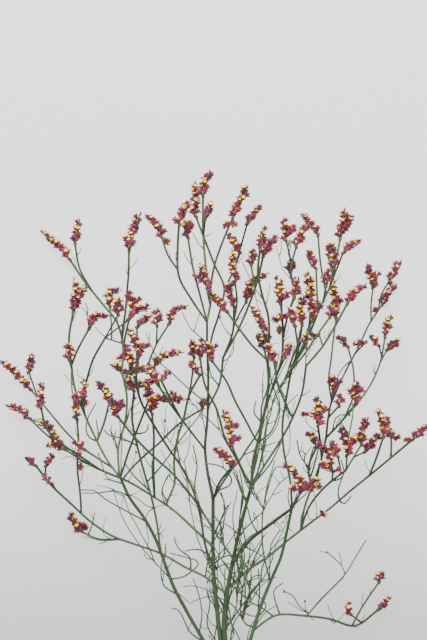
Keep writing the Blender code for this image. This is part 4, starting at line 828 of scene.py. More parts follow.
# Placing
def run_along(path):
    """How far along the path each of its points lies."""
    return np.concatenate([[0.0], np.cumsum(np.linalg.norm(np.diff(path, axis=0), axis=1))])


def at_stops(stops, run, rows):
    """The rows, known at the lengths run, read off at the lengths stops."""
    return np.stack([np.interp(stops, run, rows[:, k]) for k in range(rows.shape[1])], axis=1)


def smooth_line(points, step):
    """Points every step along a curve that passes smoothly through the given points."""
    p = np.array(points, float)
    if len(p) < 3:
        count = max(2, int(math.ceil(np.linalg.norm(p[-1] - p[0]) / step)) + 1)
        return p[0] + np.linspace(0.0, 1.0, count)[:, None] * (p[-1] - p[0])
    padded = np.vstack([2 * p[0] - p[1], p, 2 * p[-1] - p[-2]])
    t = np.linspace(0.0, 1.0, CURVE_SAMPLES, endpoint=False)[:, None]
    spans = []
    for a, b, c, d in zip(padded, padded[1:], padded[2:], padded[3:]):
        spans.append(0.5 * (2 * b + (c - a) * t + (2 * a - 5 * b + 4 * c - d) * t ** 2
                            + (3 * b - a - 3 * c + d) * t ** 3))
    return resample(np.vstack(spans + [p[-1:]]), step)


def resample(line, step):
    """The line with evenly spaced points, about step apart."""
    run = run_along(line)
    count = max(2, int(round(run[-1] / step)) + 1)
    return at_stops(np.linspace(0.0, run[-1], count), run, line)


def sampled(corners):
    """Samples on the straight runs between the corners."""
    samples = [corners[:1]]
    for start, end in zip(corners, corners[1:]):
        count = max(1, int(round(np.linalg.norm(end - start) / SAMPLE_STEP)))
        samples.append(start + np.linspace(0.0, 1.0, count + 1)[1:, None] * (end - start))
    return np.vstack(samples)


def raised(plan, low, high):
    """A plan line with heights that leave the first value gently and reach the last one gently."""
    run = run_along(plan)
    share = run / run[-1]
    ease = share * share * (3.0 - 2.0 * share)
    return np.column_stack([plan, low + (high - low) * (0.5 * share + 0.5 * ease)])


def placed(line):
    """Sheet points with heights, in millimetres, turned into the object's own frame."""
    line = np.atleast_2d(line)
    shrink = (EYE_HEIGHT - line[:, 2]) / (EYE_HEIGHT - TRUE_SCALE_HEIGHT)
    x = (line[:, 0] - SHEET_MIDDLE[0]) * shrink + SHEET_MIDDLE[0] - ORIGIN_ON_SHEET[0]
    y = (SHEET_MIDDLE[1] - line[:, 1]) * shrink + ORIGIN_ON_SHEET[1] - SHEET_MIDDLE[1]
    return np.column_stack([x, y, line[:, 2]])


def gap_between(line, reach, others):
    """The smallest free distance between a line of balls and all the balls of the others."""
    if not others:
        return math.inf
    centres = np.vstack([other[:, :3] for other in others])
    radii = np.concatenate([other[:, 3] for other in others])
    apart = np.linalg.norm(line[:, None, :] - centres[None, :, :], axis=2)
    return float((apart - radii[None, :] - reach).min())


def balls(line, reach):
    """The line with a reach for each of its points."""
    return np.column_stack([line, np.broadcast_to(reach, len(line))])


class Stem:
    """One stem: the corners of its centreline, samples along it, and its thickness there."""

    def __init__(self, corners, root, tip):
        self.corners = corners
        self.line = sampled(corners)
        self.thick = np.linspace(root, tip, len(self.line))

    def ahead(self):
        """The direction of its last straight run."""
        run = self.corners[-1] - self.corners[-2]
        return run / np.linalg.norm(run)

    def nearest(self, point):
        """The index of the sample that lies closest to a plan point."""
        return int(np.argmin(np.linalg.norm(self.line[:, :2] - np.array(point), axis=1)))

    def distance(self, point):
        """How far the stem passes from a plan point."""
        return float(np.linalg.norm(self.line[self.nearest(point), :2] - np.array(point)))

    def balls(self):
        """The samples with their reach."""
        return balls(self.line, self.thick / 2)


def grow(stems, parent, points, height, root=None, tip=None):
    """A stem that leaves its parent at the first plan point and ends at the given height."""
    if parent is None:
        plan = smooth_line(points, SAMPLE_STEP)
        return Stem(resample(raised(plan, root / 2, height), POINT_STEP), root, tip)
    holder = stems[parent]
    at = holder.nearest(points[0])
    plan = smooth_line([tuple(holder.line[at, :2])] + list(points[1:]), SAMPLE_STEP)
    if root is None:
        root = min(STALK_MAX_ROOT, STALK_ROOT_SHARE * holder.thick[at])
        tip = min(STALK_TIP, root)
    return Stem(resample(raised(plan, holder.line[at, 2], height), POINT_STEP), root, tip)


def head_axes(stalk, spines, own):
    """The axes of a head: the first goes on from the stalk, the others leave the first."""
    axes = []
    for spine in spines:
        start = axes[0].line[axes[0].nearest(spine[0])] if axes else stalk.line[-1]
        plan = smooth_line([tuple(start[:2])] + list(spine[1:]), SAMPLE_STEP)
        corners = resample(np.column_stack([plan, np.full(len(plan), start[2])]), CORE_STEP)
        onward = (corners[1] - corners[0]) / np.linalg.norm(corners[1] - corners[0])
        if own and not axes and stalk.ahead() @ onward < STRAIGHT_ENOUGH:
            corners = np.vstack([corners[:1], corners[:1] + stalk.ahead() * COLLAR, corners[1:]])
        axes.append(Stem(corners, CORE_ROOT, CORE_TIP))
    return axes


def head_balls(axes, skip):
    """The room that a head's florets take, without the first samples next to its stalk."""
    parts = []
    for axis in axes:
        share = np.linspace(0.0, 1.0, len(axis.line))
        parts.append(balls(axis.line, HEAD_REACH - REACH_TAPER * share))
    parts[0] = parts[0][skip:]
    return np.vstack(parts)


def head_room(body, own, parent, on_tip, green, taken):
    """The free distance round a head, to the heads before it and, for one of its own, to the stems."""
    room = gap_between(body[:, :3], body[:, 3:], taken)
    if own:
        near = [beads[:-OPEN_STALK_SAMPLES] if on_tip and name == parent else beads
                for name, beads in green.items()]
        room = min(room, gap_between(body[:, :3], body[:, 3:], near))
    return room


def longest_heads():
    """The places in STALKS of the heads with the longest axes, as many as HEAD_NODES."""
    lengths = [sum(run_along(np.array(axis, float))[-1] for axis in entry[4]) for entry in STALKS]
    return set(sorted(range(len(STALKS)), key=lambda i: -lengths[i])[:HEAD_NODES])


def arrange():
    """All stems and heads. A stalk tries heights round its own until its head is clear."""
    stems = {}
    for name, parent, height, root, tip, points in STEMS:
        stems[name] = grow(stems, parent, points, height, root, tip)
    green = {name: stem.balls() for name, stem in stems.items()}
    longest = longest_heads()
    heads = []
    taken = []
    for index, (name, parent, height, points, spines) in enumerate(STALKS):
        own = index in longest
        holder = stems[parent]
        on_tip = np.linalg.norm(holder.line[-1, :2] - np.array(points[-1])) < ON_TIP
        best = None
        for k in range(1 if on_tip else HEIGHT_TRIES):
            offset = HEIGHT_STEP * ((k + 1) // 2) * (1 if k % 2 else -1)
            tall = max(height + offset, MIN_HEIGHT) if k else height
            stem = holder if on_tip else grow(stems, parent, points, tall)
            axes = head_axes(stem, spines, own)
            room = math.inf
            if axes:
                room = head_room(head_balls(axes, OPEN_HEAD_SAMPLES), own, parent, on_tip, green, taken)
            if not on_tip:
                room = min(room, gap_between(stem.line, stem.thick.max() / 2, taken))
            if best is None or room > best[0]:
                best = (room, stem, axes)
            if room > CLEARANCE:
                break
        stem, axes = best[1:]
        if not on_tip:
            key = name or "stalk_%03d" % (index + 1)
            stems[key] = stem
            green[key] = stem.balls()
        if axes:
            heads.append((stem, axes))
            if own:
                taken.append(head_balls(axes, 0))
    return stems, heads, taken


def climbing(holders, points, slope, step):
    """The corners of a twig that leaves the nearest of the holders at its first plan point and
    climbs by slope, and its holder's thickness there. It stays above MIN_HEIGHT at its tip."""
    holder = min(holders, key=lambda stem: stem.distance(points[0]))
    at = holder.nearest(points[0])
    start = holder.line[at]
    plan = smooth_line([tuple(start[:2])] + list(points[1:]), SAMPLE_STEP)
    tall = max(start[2] + slope * SAMPLE_STEP * len(plan), MIN_HEIGHT)
    return resample(raised(plan, start[2], tall), step), holder.thick[at]


def barren_twigs(stems, taken):
    """The thin twigs without flowers. Each rises or sinks a little; one without room is left out."""
    holders = list(stems.values())
    twigs = []
    for index, points in enumerate(TWIGS):
        for slope in (TWIG_SLOPES[index % 2], TWIG_SLOPES[1 - index % 2], 0.0):
            corners, thick = climbing(holders, points, slope, TWIG_STEP)
            root = min(TWIG_ROOT, TWIG_ROOT_SHARE * thick)
            twig = Stem(corners, root, TWIG_TIP)
            if gap_between(twig.line, TWIG_ROOT / 2, taken) > CLEARANCE:
                finer = climbing(holders, points, slope, FINE_TWIG_STEP)[0]
                twigs.append(Stem(finer, root, TWIG_TIP))
                holders.append(twig)
                break
    return twigs


def fine_twigs(stems, twigs):
    """The finer twigs of FINE_TWIGS, each on the stem or twig that passes closest to its root."""
    holders = list(stems.values()) + twigs
    grown = []
    for thick, lines in FINE_TWIGS:
        for index, points in enumerate(lines):
            corners = climbing(holders, points, FINE_TWIG_SLOPES[index % 2], FINE_TWIG_STEP)[0]
            grown.append(Stem(corners, thick / TWIG_FULLER, FINE_TWIG_TIP * thick / TWIG_FULLER))
            holders.append(grown[-1])
    return grown


# Shapes
def unit(rows):
    """Each row at length one."""
    return rows / np.maximum(np.linalg.norm(rows, axis=-1, keepdims=True), TINY)


def wander(count, step, size, draw):
    """A slow random wave: random values every step points, joined by straight lines, and at most
    size high or low."""
    knots = draw.uniform(-size, size, max(3, count // step + 3))
    return np.interp(np.linspace(0, len(knots) - 1, count), np.arange(len(knots)), knots)


def ring_faces(rows, columns):
    """The faces of a grid of rows times columns points whose rows are rings. Each quad joins two
    neighbours of a ring to the same two of the next, and fans close the first ring on the pole that
    follows the grid and the last ring on the pole after that."""
    k, j = np.meshgrid(np.arange(rows - 1), np.arange(columns), indexing="ij")
    low, high, after = k * columns, (k + 1) * columns, (j + 1) % columns
    quads = np.stack([low + j, low + after, high + after, high + j], -1)
    j, after, last = j[0], after[0], (rows - 1) * columns
    foot = np.stack([np.full(columns, rows * columns), after, j], -1)
    crown = np.stack([last + j, last + after, np.full(columns, rows * columns + 1)], -1)
    return quads.reshape(-1, 4), np.vstack([foot, crown])


def tube(path, radius, sides, ribs=0.0):
    """A closed tube. Ring k is a circle of radius[k] round path[k], square to the path. Its corners
    stand out and in by turns, by the share ribs of the radius. The root closes flat in one pole and
    the tip in a pole TIP_POINT radii beyond it. The rings turn the other way round than those of a
    turned form, and so do the faces."""
    along = unit(np.gradient(path, axis=0))
    across = unit(np.cross(along, UP))
    above = np.cross(across, along)
    angle = 2 * np.pi * np.arange(sides) / sides
    reach = radius[:, None] * (1.0 + ribs * np.cos(angle * sides / 2)[None, :])
    ring = (reach * np.cos(angle))[:, :, None] * across[:, None, :]
    ring = ring + (reach * np.sin(angle))[:, :, None] * above[:, None, :]
    rings = path[:, None, :] + ring
    points = np.vstack([rings.reshape(-1, 3), path[:1], path[-1:] + along[-1:] * TIP_POINT * radius[-1]])
    quads, fans = ring_faces(len(path), sides)
    return points, quads[:, [0, 3, 2, 1]], fans[:, ::-1]


def rod(path, radius, sides, ribs, along, age):
    """A tube with its tint: how far along it a point is, the tube's age, and rib or groove."""
    points, quads, fans = tube(path, radius, sides, ribs)
    ring = np.tile(0.5 + 0.5 * np.cos(np.pi * np.arange(sides)), len(path))
    tint = np.column_stack([np.append(np.repeat(along, sides), [along[0], along[-1]]),
                            np.full(len(points), age), np.append(ring, [0.5, 0.5])])
    return points, quads, fans, tint


def turned(radii, heights, columns, lobes=0.0, lobe_lift=0.0, lobed_row=0):
    """A closed body turned round Z from rows of radius and height; the first and last rows are
    poles. The lobed row's radius and height swing with the cosine of LOBES times the angle."""
    radii, heights = np.array(radii), np.array(heights)
    angle = 2 * np.pi * np.arange(columns) / columns
    rows = np.arange(1, len(radii) - 1)
    wave = np.outer(rows == lobed_row, np.cos(LOBES * angle))
    r = radii[rows, None] * (1.0 + lobes * wave)
    z = heights[rows, None] + lobe_lift * wave
    grid = np.stack([r * np.cos(angle), r * np.sin(angle), z], -1).reshape(-1, 3)
    quads, fans = ring_faces(len(rows), columns)
    along = np.append(np.repeat(np.linspace(0, 1, len(radii))[1:-1], columns), [0.0, 1.0])
    return np.vstack([grid, UP * heights[0], UP * heights[-1]]), quads, fans, along


def calyx_form():
    """A papery trumpet of length one: a slim tube that opens into a mouth of five pointed lobes,
    and inside it a throat. Height is up the tube, radius is half its width."""
    radii = (0.0, 0.12, 0.19, 0.28, 0.43, 0.21, 0.0)
    heights = (0.0, 0.08, 0.36, 0.64, 0.91, 0.70, 0.50)
    return turned(radii, heights, FLOWER_COLUMNS, lobes=0.20, lobe_lift=0.08, lobed_row=4)


def corolla_form():
    """A small five-petalled flower: a flat star whose petals lean up from a narrow foot."""
    radii = (0.0, 0.16, 0.50, 0.22, 0.0)
    heights = (0.0, 0.16, 0.46, 0.36, 0.22)
    return turned(radii, heights, FLOWER_COLUMNS, lobes=0.17, lobe_lift=0.05, lobed_row=2)


def bud_form():
    """A closed bud of length one: a slim spindle, widest below its middle."""
    radii = (0.0, 0.11, 0.15, 0.10, 0.0)
    heights = (0.0, 0.18, 0.45, 0.75, 1.0)
    return turned(radii, heights, BUD_COLUMNS)


def scale_form():
    """A pointed papery scale of length one: a flat spindle that bows outwards along its length, by
    a parabola of its height."""
    radii = (0.0, 0.20, 0.24, 0.13, 0.0)
    heights = (0.0, 0.15, 0.42, 0.74, 1.0)
    flat, bow = 0.22, 0.22
    points, quads, fans, along = turned(radii, heights, BUD_COLUMNS)
    height = points[:, 2]
    points[:, 1] = flat * points[:, 1] + bow * height * (1.0 - height)
    return points, quads, fans, along


def node_form():
    """The swelling at a fork, for a stem of radius one: it grows out of the stem's end, is widest
    just before it and closes in a blunt dome. It has one tone all over, that of the stem's end."""
    radii = (0.0, 0.94, 1.0, 1.09, 1.04, 0.86, 0.52, 0.0)
    heights = (-5.0, -4.6, -2.6, -1.0, 0.2, 1.1, 1.7, 1.9)
    points, quads, fans, along = turned(radii, heights, MAIN_SIDES)
    return points, quads, fans, np.full(len(along), NODE_TONE)


def cut_form():
    """The cut face of a stem of radius one: a thin disc whose pith lies a little lower."""
    radii = (0.0, 0.97, 0.97, 0.80, 0.42, 0.0)
    heights = (-0.05, -0.05, 0.10, 0.13, 0.09, 0.07)
    return turned(radii, heights, MAIN_SIDES)


def copies(form, spots, out, near, size, wide, age, share=0.0):
    """Copies of a form, as one chunk. A point of a copy is its spot plus the form's X along beside,
    Y along facing and Z along out, where facing is the direction square to out that leans most
    towards near. X and Y are scaled by size and wide, Z by size. The tint is how far up the copy a
    point is, the copy's age and its share."""
    points, quads, fans, along = form
    out = unit(out)
    beside = unit(np.cross(near, out))
    facing = np.cross(out, beside)
    scaled = points[None, :, :] * np.stack([size * wide, size * wide, size], -1)[:, None, :]
    laid = (scaled[:, :, 0:1] * beside[:, None, :] + scaled[:, :, 1:2] * facing[:, None, :]
            + scaled[:, :, 2:3] * out[:, None, :] + spots[:, None, :])
    shift = (np.arange(len(spots)) * len(points))[:, None, None]
    every = np.ones((len(spots), len(points)))
    tint = np.stack([every * along, every * np.reshape(age, (-1, 1)), every * np.reshape(share, (-1, 1))], -1)
    return (laid.reshape(-1, 3), (quads[None] + shift).reshape(-1, 4),
            (fans[None] + shift).reshape(-1, 3), tint.reshape(-1, 3))


def piece(name, chunks, finish, replaced=()):
    """One mesh object from chunks of points, quads, triangles and a tint for each point. A point
    below the floor is lifted to it."""
    points = np.vstack([chunk[0] for chunk in chunks])
    points[:, 2] = np.maximum(points[:, 2], 0.0)
    tints = np.vstack([chunk[3] for chunk in chunks])
    faces = []
    start = 0
    for laid, quads, fans, tint in chunks:
        faces += (quads + start).tolist() + (fans + start).tolist()
        start += len(laid)
    mesh = bpy.data.meshes.new(name)
    mesh.from_pydata((points * MM).tolist(), [], faces)
    attribute = mesh.attributes.new("tint", "FLOAT_VECTOR", "POINT")
    attribute.data.foreach_set("vector", tints.astype(np.float32).ravel())
    mesh.polygons.foreach_set("use_smooth", np.ones(len(faces), bool))
    mesh.materials.append(finish)
    made = bpy.data.objects.new(name, mesh)
    bpy.context.scene.collection.objects.link(made)
    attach(made, "root")
    if replaced:
        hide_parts(*replaced)
    return made


# Finishes
def node(tree, kind, inputs, **settings):
    """A shader node with its settings. An input is fed by a link where it is given an output of
    another node, and takes a number otherwise."""
    made = tree.nodes.new("ShaderNode" + kind)
    for name, value in settings.items():
        setattr(made, name, value)
    for name, value in inputs.items():
        if isinstance(value, bpy.types.NodeSocket):
            tree.links.new(value, made.inputs[name])
        else:
            made.inputs[name].default_value = value
    return made


def coloured(tree, place, ramp):
    """The colours of a ramp, read off at the output place."""
    colours = node(tree, "ValToRGB", {"Fac": place})
    while len(colours.color_ramp.elements) < len(ramp):
        colours.color_ramp.elements.new(0.5)
    for stop, (position, colour) in zip(colours.color_ramp.elements, ramp):
        stop.position = position
        stop.color = colour + (1.0,)
    return colours.outputs["Color"]


def finish_of(name, ramp, roughness, drift, grain, sheen=0.0, depth=0.0, hues=0.0, cloud=90.0):
    """A dry matt finish. Its colour runs by the ramp along the form, which is the tint's X. With the
    copy's age, which is Y, it turns by hues, and with the age and a cloud it drifts in brightness.
    Where Z is one it is darker by the share depth. A fine grain roughens it."""
    made = bpy.data.materials.new(name)
    made.use_nodes = True
    tree = made.node_tree
    surface = tree.nodes["Principled BSDF"]
    surface.inputs["Roughness"].default_value = roughness
    surface.inputs["Sheen Weight"].default_value = sheen
    surface.inputs["Specular IOR Level"].default_value = SPECULAR

    tint = node(tree, "Attribute", {}, attribute_name="tint").outputs["Vector"]
    parts = node(tree, "SeparateXYZ", {"Vector": tint}).outputs
    where = node(tree, "TexCoord", {}).outputs["Object"]
    clouds = node(tree, "TexNoise", {"Vector": where, "Scale": cloud, "Detail": CLOUD_DETAIL})
    speckle = node(tree, "TexNoise", {"Vector": where, "Scale": grain, "Detail": GRAIN_DETAIL})

    swing = node(tree, "Math", {0: parts["Y"], 1: clouds.outputs["Fac"]}, operation="ADD")
    spread = node(tree, "MapRange", {"Value": swing.outputs["Value"], "From Min": AGE_AND_CLOUD[0],
                                     "From Max": AGE_AND_CLOUD[1], "To Min": 1.0 - drift,
                                     "To Max": 1.0 + drift})
    darker = node(tree, "Math", {0: parts["Z"], 1: -depth, 2: 1.0}, operation="MULTIPLY_ADD")
    strength = node(tree, "Math", {0: spread.outputs["Result"], 1: darker.outputs["Value"]},
                    operation="MULTIPLY")

    hue = node(tree, "MapRange", {"Value": parts["Y"], "To Min": 0.5 - hues, "To Max": 0.5 + hues})
    colour = node(tree, "HueSaturation", {"Hue": hue.outputs["Result"],
                                          "Color": coloured(tree, parts["X"], ramp)})
    shaded = node(tree, "VectorMath", {0: colour.outputs["Color"], "Scale": strength.outputs["Value"]},
                  operation="SCALE")
    relief = node(tree, "Bump", {"Height": speckle.outputs["Fac"], "Strength": GRAIN_STRENGTH,
                                 "Distance": GRAIN_DEPTH})
    tree.links.new(shaded.outputs["Vector"], surface.inputs["Base Color"])
    tree.links.new(relief.outputs["Normal"], surface.inputs["Normal"])
    return made


# Stems, stalks and twigs
def carrier_of(stem, drawn):
    """The path of the stem, among those drawn, that passes through this stem's root."""
    if not drawn:
        return None
    root = stem.corners[0]
    return min(drawn, key=lambda pair: np.linalg.norm(pair[0].line - root, axis=1).min())[1]


def moved_root(path, root):
    """The path with its first point on root; the shift fades to nothing over ROOT_FADE, by the
    square of what is left of it."""
    fade = np.clip(1.0 - run_along(path) / ROOT_FADE, 0.0, 1.0) ** 2
    return path + fade[:, None] * (root - path[0])


def fine_path(stem, carrier):
    """The stem's corners as one smooth curve whose first point lies on the curve that carries it."""
    path = placed(smooth_line(stem.corners, FINE_STEP))
    if carrier is None:
        return path
    return moved_root(path, carrier[np.argmin(np.linalg.norm(carrier - path[0], axis=1))])


def rod_radius(name, stem, run, carried, crowded, draw):
    """The radius along a rod. It tapers evenly and wavers, a carried one flares at its root, those
    in FOOT_SWELL swell towards it, and crowded ones are slimmer there."""
    radius = np.linspace(stem.thick[0], stem.thick[-1], len(run)) / 2
    radius = radius * (1.0 + wander(len(run), WANDER_STEP, WANDER_SIZE, draw))
    if carried:
        radius = radius * (1.0 + FLARE * np.exp(-run / FLARE_LENGTH))
    radius = radius * (1.0 + FOOT_SWELL.get(name, 0.0) * np.clip(1.0 - run / SWELL_LENGTH, 0.0, 1.0))
    if crowded:
        radius = radius * (1.0 - CROWDED_SHARE * np.exp(-run / CROWDED_LENGTH))
    return radius


def fuller(radius):
    """A thin stem's radius with the papery wing along it, which fades out on thicker stems."""
    return SLIMMER * radius + FULLER * np.clip((FULL_AT[1] - radius) / (FULL_AT[1] - FULL_AT[0]), 0.0, 1.0)


def rods(stems, twigs, draw):
    """The rods of the main stems, of the thin stalks and of the barren twigs, every stem with its
    path, and the main stems with their paths and radii."""
    main = {entry[0] for entry in STEMS}
    roots = [tuple(np.round(stem.corners[0], 1)) for stem in stems.values()]
    thick, thin, bare, drawn, ends = [], [], [], [], []
    for name, stem in list(stems.items()) + [("", twig) for twig in twigs]:
        carrier = carrier_of(stem, drawn)
        path = fine_path(stem, carrier)
        run = run_along(path)
        crowded = roots.count(tuple(np.round(stem.corners[0], 1))) >= CROWDED
        radius = rod_radius(name, stem, run, carrier is not None, crowded, draw)
        tint = (np.clip(run / run[-1], 0.0, 1.0), draw.uniform(0.0, 1.0))
        if name in main:
            radius = fuller(radius)
            ribs = RIB_DEPTH if stem.thick[0] >= RIBBED_FROM else 0.0
            thick.append(rod(path, radius, MAIN_SIDES, ribs, *tint))
            ends.append((stem, path, radius))
        elif name:
            thin.append(rod(path, fuller(radius), STALK_SIDES, 0.0, *tint))
        else:
            bare.append(rod(path, radius * TWIG_FULLER, TWIG_SIDES, 0.0, *tint))
        drawn.append((stem, path))
    return thick, thin, bare, drawn, ends


def swellings(ends, drawn):
    """The swellings where FORKS_OF_NODE stems or more leave the end of a main stem."""
    roots = np.array([stem.corners[0] for stem, path in drawn])
    forked = [(path, radius) for stem, path, radius in ends
              if (np.linalg.norm(roots - stem.corners[-1], axis=1) < NODE_REACH).sum() >= FORKS_OF_NODE]
    spots = np.array([path[-1] for path, radius in forked])
    out = np.array([path[-1] - path[-2] for path, radius in forked])
    size = NODE_FULLER * np.array([radius[-1] for path, radius in forked])
    return copies(node_form(), spots, out, UP[None], size, 1.0, 0.5, 0.5)


def cut_end(path, radius):
    """The cut face on the root of the trunk."""
    return copies(cut_form(), path[:1], path[:1] - path[1:2], UP[None], radius[:1], 1.0, 0.5)


def hair_forks(drawn, draw):
    """Short hair-fine forks on the thin stems. Each is a straight lean out of its stem plus a curl
    that grows with the square of the way along it."""
    chunks = []
    slim = [path for stem, path in drawn if stem.thick[0] < FORKED_BELOW and len(path) > FORKED_ABOVE_POINTS]
    share = np.linspace(0.0, 1.0, FORK_POINTS)[:, None]
    radius = np.linspace(*FORK_THICK, FORK_POINTS) / 2
    tone = np.linspace(FORK_TONE, 1.0, FORK_POINTS)
    for index in draw.choice(len(slim), FORK_COUNT):
        path = slim[index]
        at = int(len(path) * draw.uniform(*FORK_PLACES))
        onward = unit(path[min(at + 2, len(path) - 1)] - path[at - 2])
        beside = unit(np.cross(onward, UP)) * draw.choice([-1.0, 1.0])
        length = draw.uniform(*FORK_LENGTH)
        lean = onward * draw.uniform(*FORK_ONWARD) + beside * draw.uniform(*FORK_ASIDE)
        lean = lean + UP * draw.uniform(*FORK_RISE)
        curl = onward * draw.uniform(*FORK_CURL_ONWARD) - beside * draw.uniform(*FORK_CURL_BACK)
        line = path[at] + length * (share * unit(lean) + share ** 2 * curl)
        chunks.append(rod(line, radius, HAIR_SIDES, 0.0, tone, draw.uniform(0.0, 1.0)))
    return chunks


def tangle(drawn, draw):
    """Hair-fine curly twigs crowded round the foot of the spray. Each leaves a stem near a random
    plan point, turns at a steady random rate and wavers, and leans towards the flowers."""
    middle, spread = np.array(TANGLE_MIDDLE), np.array(TANGLE_SPREAD)
    share = np.linspace(0.0, 1.0, TANGLE_POINTS)
    tone = np.linspace(0.0, 1.0, TANGLE_POINTS + 1)
    taper = np.linspace(1.0, TANGLE_TIP, TANGLE_POINTS + 1) / 2
    chunks = []
    for spot in middle + spread * draw.normal(size=(TANGLE_COUNT, 2)):
        stem, path = min(drawn, key=lambda pair: pair[0].distance(spot))
        at = np.argmin(np.linalg.norm(path - placed(stem.line[stem.nearest(spot)]), axis=1))
        heading = draw.normal(0.0, TANGLE_HEADING) + draw.normal(0.0, TANGLE_TURN) * share
        heading = heading + wander(TANGLE_POINTS, WAVER_STEP, WAVER_SIZE, draw)
        length = draw.uniform(*TANGLE_LENGTH)
        rise = np.full(TANGLE_POINTS, draw.uniform(*TANGLE_SLOPE))
        step = np.column_stack([np.sin(heading), np.cos(heading), rise])
        line = path[at] + np.cumsum(step, axis=0) * length / TANGLE_POINTS
        line = np.vstack([path[at], line])
        radius = taper * draw.uniform(*TANGLE_THICK)
        chunks.append(rod(line, radius, HAIR_SIDES, 0.0, tone, draw.uniform(0.0, 1.0)))
    return chunks


def scale_leaves(drawn, draw):
    """A tiny brown scale leaf at the root of every side stem, larger on a thicker one, and more of
    them at random steps along it."""
    spots, out, size = [], [], []
    for stem, path in drawn[1:]:
        thick = stem.thick[0]
        onward = unit(path[1] - path[0])
        beside = unit(np.cross(onward, UP)) * draw.choice([-1.0, 1.0])
        outward = unit(UP * draw.uniform(*AXIL_RISE) + beside)
        if thick > STALK_MAX_ROOT:
            spots.append(path[0] + onward * AXIL_ONWARD * thick + outward * AXIL_ASIDE * thick)
            out.append(onward + outward * AXIL_LEAN)
            size.append(draw.uniform(*SCALE_LENGTH) * max(1.0, AXIL_SHARE * thick))
        else:
            spots.append(path[0] - onward * THIN_AXIL_BACK)
            out.append(onward + outward * THIN_AXIL_LEAN)
            size.append(draw.uniform(*SCALE_LENGTH) * THIN_AXIL_SHARE)
        first, every = draw.integers(*SCALE_FIRST), draw.integers(*SCALE_EVERY)
        for at in range(first, len(path) - SCALE_BARE_POINTS, every):
            onward = unit(path[at + 1] - path[at])
            beside = unit(np.cross(onward, UP)) * draw.choice([-1.0, 1.0])
            spots.append(path[at] + beside * thick * STALK_SCALE_ASIDE)
            out.append(onward + beside * STALK_SCALE_LEAN)
            size.append(draw.uniform(*SCALE_LENGTH) * STALK_SCALE_SHARE)
    near = draw.normal(size=(len(size), 3))
    age = draw.uniform(0, 1, len(size))
    return [copies(scale_form(), np.array(spots), np.array(out), near, np.array(size), 1.0, age)]


# Flower heads
def head_path(stalk_path, axis, first):
    """The smooth curve of one axis of a head; the first axis starts on the end of its stalk."""
    path = placed(smooth_line(axis.corners, FINE_STEP / 2))
    return moved_root(path, stalk_path[-1]) if first else path


def florets_on(path, draw):
    """The florets of one axis: spot, way they open, side of the axis, size, share of the way along
    it, and whether they face the light. They turn round the axis from its lit side by FLORET_TURNS
    in order, with some chance, and lean forward along it. Then the frame of each: along the axis,
    to its lit side and across."""
    run = run_along(path)
    count = max(2, int(round(run[-1] * BUD_SHARE / FLORET_STEP)))
    shift = draw.uniform(-FLORET_SHIFT, FLORET_SHIFT, count)
    stops = (np.linspace(FLORET_FIRST, BUD_SHARE, count) + shift) * run[-1]
    spots = at_stops(stops, run, path)
    along = unit(at_stops(stops, run, unit(np.gradient(path, axis=0))))
    lit = np.array(FLORET_SIDE)
    lit = unit(lit - along * (along @ lit)[:, None])
    across = np.cross(along, lit)
    swing = draw.uniform(-FLORET_SWING, FLORET_SWING, count)
    turn = np.radians(np.resize(FLORET_TURNS, count) + swing)[:, None]
    side = lit * np.cos(turn) + across * np.sin(turn)
    out = unit(along * (FORWARD + draw.uniform(*FORWARD_SPREAD, count))[:, None] + side)
    size = FLORET_LENGTH * (1.0 - FLORET_TAPER * stops / run[-1]) * draw.uniform(*FLORET_SIZES, count)
    facing = np.abs(turn[:, 0]) < np.radians(COROLLA_TURN)
    return (spots, out, side, size, stops / run[-1], facing), (along, lit, across)


def bracts_under(spots, along, lit, across, draw):
    """The bracts on the dark side of an axis, one for each floret: spot, direction, side, size."""
    sway = draw.uniform(-BRACT_SWAY, BRACT_SWAY, (len(spots), 1))
    size = BRACT_LENGTH * draw.uniform(*BRACT_SIZES, len(spots))
    out = along - lit * BRACT_SAG + across * sway * BRACT_SWAY_LEAN
    return spots - lit * BRACT_BELOW + across * sway, out, -lit, size


def bracts_round(foot, along, lit, across, draw):
    """The bracts round the foot of a head, at even turns round its axis."""
    turn = 2 * np.pi * (np.arange(FOOT_BRACTS) + draw.uniform(0.0, 1.0))[:, None] / FOOT_BRACTS
    around = lit * np.cos(turn) + across * np.sin(turn)
    back = np.linspace(*FOOT_BRACT_BACK, FOOT_BRACTS)[:, None]
    size = FOOT_BRACT_LENGTH * draw.uniform(*FOOT_BRACT_SIZES, FOOT_BRACTS)
    return foot - along * back + around * FOOT_BRACT_OUT, along + around * FOOT_BRACT_LEAN, around, size


def buds_at_tip(path, draw):
    """The closed buds that crowd at the tip of one axis: spot, direction and length."""
    count = len(BUD_TURNS)
    along = unit(path[-1] - path[-3])
    back = np.linspace(0.0, BUD_CROWD, count)[:, None]
    lit = np.array(BUD_SIDE)
    lit = unit(lit - along * (along @ lit))
    across = np.cross(along, lit)
    turn = np.radians(np.array(BUD_TURNS) + draw.uniform(-BUD_SWING, BUD_SWING, count))[:, None]
    side = lit * np.cos(turn) + across * np.sin(turn)
    out = unit(along + side * np.array(BUD_LEANS)[:, None])
    return path[-1] - along * back, out, BUD_LENGTH * draw.uniform(*BUD_SIZES, count)


